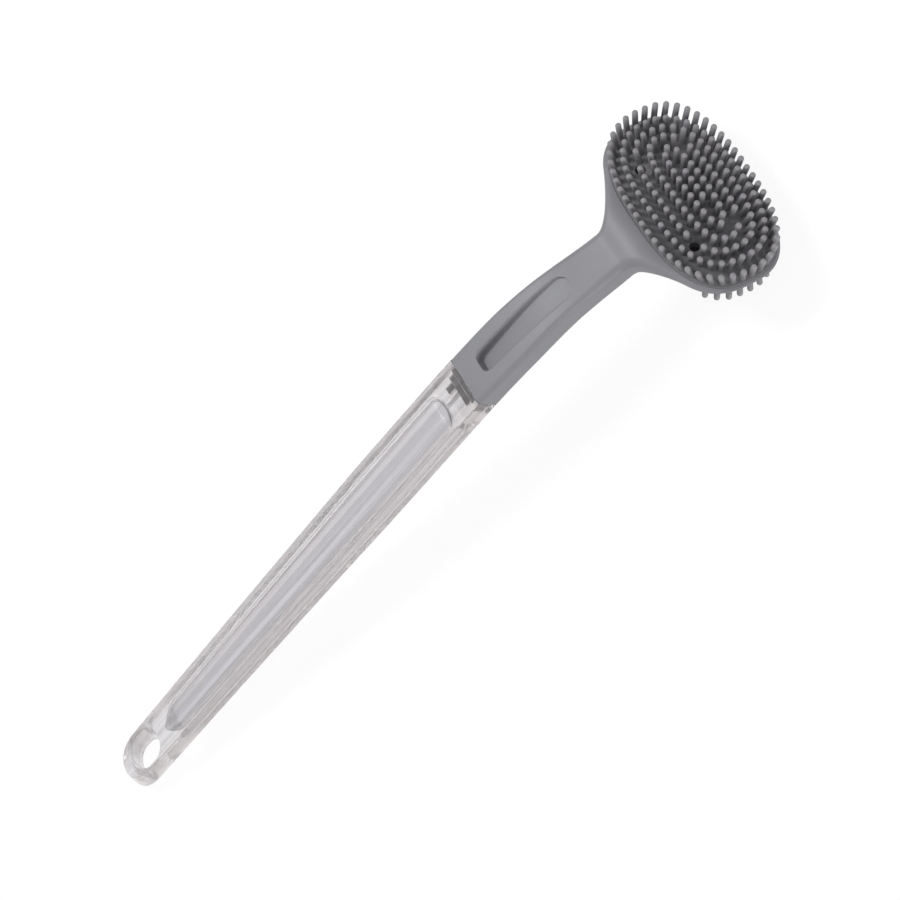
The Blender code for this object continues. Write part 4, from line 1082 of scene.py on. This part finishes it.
def soft_moulded_plastic(colour):
    """Thermoplastic rubber, moulded: matte and soft-looking. Light and shade are painted along the
    pegs:
    paler towards their tips, where light comes in from the sides, and darker at their feet and on the
    pad."""
    material, shader = new_material("grey_thermoplastic_rubber", {
        "IOR": 1.5, "Roughness": 0.58, "Specular IOR Level": 0.4})
    height = add_node(material, "ShaderNodeAttribute", {"attribute_name": "height_share"})
    # Painted highlight and shade: the ramp over the height share darkens the holes' bottoms, the pad
    # and the feet, and lightens the tips
    stops = shades(colour, ((0.0, 0.10), (PAD_HEIGHT_SHARE, 0.62), (0.55, 0.74), (0.95, 1.08)))
    tint = add_node(material, "ShaderNodeValToRGB", {"stops": stops}, {"Fac": (height, "Fac")})
    place = add_node(material, "ShaderNodeTexCoord")
    # Skin of the rubber varies over about 0.6 mm
    skin_noise = add_node(material, "ShaderNodeTexNoise", {"Scale": 1600.0, "Detail": 2.0},
                          {"Vector": (place, "Object")})
    spread = add_node(material, "ShaderNodeMapRange", {"To Min": 0.92, "To Max": 1.06},
                      {"Value": (skin_noise, "Fac")})
    mottle = add_node(material, "ShaderNodeVectorMath", {"operation": "SCALE"},
                      {"Vector": (tint, "Color"), "Scale": (spread, "Result")})
    relief = add_node(material, "ShaderNodeBump", {"Strength": 0.15, "Distance": 0.00006},
                      {"Height": (skin_noise, "Fac")})
    wire(material, shader, {"Base Color": (mottle, "Vector"), "Normal": (relief, "Normal")})
    return material


def white_paper(colour):
    """Matte white paper. What looks at it sees plain white with a faint shadow; the brush is lit
    by it as by a pale floor."""
    material, shader = new_material("matte_white_paper", {
        "Roughness": 0.9, "Specular IOR Level": 0.0, "Emission Color": (1.0, 1.0, 1.0, 1.0)})
    looker = add_onlooker(material)
    paint = add_node(material, "ShaderNodeMix", {
        "data_type": "RGBA", MIX_UNDER: (*colour, 1.0), MIX_OVER: (*PAPER_SEEN_COLOUR, 1.0)},
        {MIX_FACTOR: looker})
    glow = add_node(material, "ShaderNodeMapRange", {"To Max": PAPER_SEEN_GLOW}, {"Value": looker})
    wire(material, shader, {"Base Color": (paint, MIX_RESULT), "Emission Strength": (glow, "Result")})
    return material


def settings_of(context):
    """All the brush's settings under short names."""
    return context.scene.brush_sizes


class BrushSizes(bpy.types.PropertyGroup):
    """All settings of the brush itself."""
    handle: bpy.props.PointerProperty(type=BrushHandleSettings)
    neck: bpy.props.PointerProperty(type=BrushNeckSettings)
    bristles: bpy.props.PointerProperty(type=BrushBristleSettings)


class BRUSH_OT_handle(bpy.types.Operator):
    """Make the clear handle with its hanging eye, its hollow and its socket"""
    bl_idname = "brush.handle"
    bl_label = "Clear handle"

    def execute(self, context):
        s = settings_of(context).handle
        piece = handle_body(s)
        carve(piece, eye_cutter(s))
        carve(piece, hollow_cutter(s))
        carve(piece, plug(s, FIT_CLEARANCE, s.length + COLLAR_SIZE[1]))
        mark_flow(s, piece)
        finish_piece(piece, "handle", clear_moulded_plastic(s))
        return {"FINISHED"}


class BRUSH_OT_neck_and_head(bpy.types.Operator):
    """Make the grey neck and head with the plug, the groove and both pad seats"""
    bl_idname = "brush.neck_and_head"
    bl_label = "Neck and head"

    def execute(self, context):
        s = settings_of(context)
        piece = skin("grey_neck_and_head", np.concatenate([neck_rings(s), fan_rings(s), head_rings(s)]))
        carve(piece, plug(s.handle, 0.0, s.handle.length + FIT_CLEARANCE + COLLAR_SIZE[1]), "UNION")
        carve(piece, groove_cutter(s))
        depth = PAD_CENTRE_THICKNESS + FIT_CLEARANCE + CORE_HOLE_DEPTH
        ends = []
        for front in (True, False):
            carve(piece, seat_cutter(s, front))
            for x, along in hole_places(s, front):
                carve(piece, hole_cutter(s, x, along, front, depth))
                lift = pad_surface(s, x, along, front) - way_out(front) * depth
                ends.append(on_head(s, x, along, lift))
        mark_painted_shade(s.handle, piece, ends)
        finish_piece(piece, "neck_and_head_core", grey_moulded_plastic(s.neck.colour))
        return {"FINISHED"}


class BRUSH_OT_bristle_pads(bpy.types.Operator):
    """Make the front and the back pad with their bristles"""
    bl_idname = "brush.bristle_pads"
    bl_label = "Bristle pads"

    def execute(self, context):
        s = settings_of(context)
        material = soft_moulded_plastic(s.bristles.colour)
        for name, node, front in (("front_pad_and_bristles", "front_bristle_pad", True),
                                  ("back_pad_and_bristles", "back_bristle_pad", False)):
            slab = pad_slab(s, name, front)
            slab_points = mesh_points(slab)
            slab_height = slab_heights(s, slab, front)
            faces = [list(face.vertices) for face in slab.data.polygons]
            bpy.data.objects.remove(slab, do_unlink=True)
            points, strand_faces, height = strands(s, front)
            points = moved(points, BRUSH_TO_ROW)
            points[:, 2] = np.maximum(points[:, 2], 0.0)
            faces += [[len(slab_points) + corner for corner in face] for face in strand_faces]
            piece = add_object(name, np.concatenate([slab_points, points]), faces)
            mark(piece, "height_share", np.concatenate([slab_height, height]))
            finish_piece(piece, node, material, PAD_SHARPEST_ANGLE)
        return {"FINISHED"}


def add_floor(settings):
    """Makes the square floor that the brush lies on."""
    half = settings.floor_size / 2
    corners = [(-half, -half, 0), (half, -half, 0), (half, half, 0), (-half, half, 0)]
    floor = add_object("floor", np.array(corners), [(0, 1, 2, 3)])
    floor.data.materials.append(white_paper(settings.floor_colour))


def light_world(scene):
    """Makes the world white to what looks at it, and a weaker even light to what it lights."""
    world = scene.world or bpy.data.worlds.new("studio")
    scene.world = world
    world.use_nodes = True
    background = world.node_tree.nodes["Background"]
    background.inputs["Color"].default_value = (1, 1, 1, 1)
    strength = add_node(world, "ShaderNodeMapRange", dict(zip(("To Min", "To Max"), WORLD_STRENGTHS)),
                        {"Value": add_onlooker(world)})
    wire(world, background, {"Strength": (strength, "Result")})


def add_camera(scene):
    """Puts the camera where the photograph was taken from."""
    camera = bpy.data.objects.new("camera", bpy.data.cameras.new("camera"))
    scene.collection.objects.link(camera)
    camera.data.lens = CAMERA_LENS
    camera.data.sensor_width = CAMERA_SENSOR_WIDTH
    camera.data.sensor_fit = "HORIZONTAL"
    turn = Euler(CAMERA_TURN).to_matrix().to_4x4()
    camera.matrix_world = BRUSH_TO_ROW @ Matrix.Translation(CAMERA_PLACE) @ turn
    scene.camera = camera


def add_lamps(scene):
    """Puts up the square lamps and turns them to the brush."""
    for name, (place, size, power) in LAMPS.items():
        lamp = bpy.data.objects.new(name, bpy.data.lights.new(name, "AREA"))
        lamp.data.size = size
        lamp.data.energy = power
        lamp.location = place
        lamp.rotation_euler = (lamp.location - Vector(LIT_PLACE)).to_track_quat("Z", "Y").to_euler()
        scene.collection.objects.link(lamp)


class BRUSH_OT_stage(bpy.types.Operator):
    """Make the floor, the lights and the camera"""
    bl_idname = "brush.stage"
    bl_label = "Stage"

    def execute(self, context):
        add_floor(context.scene.brush_stage)
        light_world(context.scene)
        add_camera(context.scene)
        add_lamps(context.scene)
        context.scene.view_settings.view_transform = "Standard"
        return {"FINISHED"}


class BRUSH_PT_panel(bpy.types.Panel):
    """Lists the brush's settings and the pieces that it is made from"""
    bl_idname = "BRUSH_PT_panel"
    bl_label = "Toilet brush"
    bl_space_type = "VIEW_3D"
    bl_region_type = "UI"
    bl_category = "Brush"

    def draw(self, context):
        sizes = settings_of(context)
        groups = ((sizes.handle, BRUSH_OT_handle), (sizes.neck, BRUSH_OT_neck_and_head),
                  (sizes.bristles, BRUSH_OT_bristle_pads), (context.scene.brush_stage, BRUSH_OT_stage))
        for settings, operator in groups:
            box = self.layout.box()
            box.operator(operator.bl_idname)
            for name in settings.__annotations__:
                box.prop(settings, name)


CLASSES = (BrushHandleSettings, BrushNeckSettings, BrushBristleSettings, BrushSizes,
           BrushStageSettings, BRUSH_OT_handle, BRUSH_OT_neck_and_head, BRUSH_OT_bristle_pads,
           BRUSH_OT_stage, BRUSH_PT_panel)


def register():
    for kind in CLASSES:
        bpy.utils.register_class(kind)
    bpy.types.Scene.brush_sizes = bpy.props.PointerProperty(type=BrushSizes)
    bpy.types.Scene.brush_stage = bpy.props.PointerProperty(type=BrushStageSettings)


def unregister():
    del bpy.types.Scene.brush_stage
    del bpy.types.Scene.brush_sizes
    for kind in reversed(CLASSES):
        bpy.utils.unregister_class(kind)


def main():
    """Registers the add-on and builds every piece."""
    register()
    bpy.ops.brush.handle()
    bpy.ops.brush.neck_and_head()
    bpy.ops.brush.bristle_pads()
    bpy.ops.brush.stage()


if __name__ == "__main__":
    main()
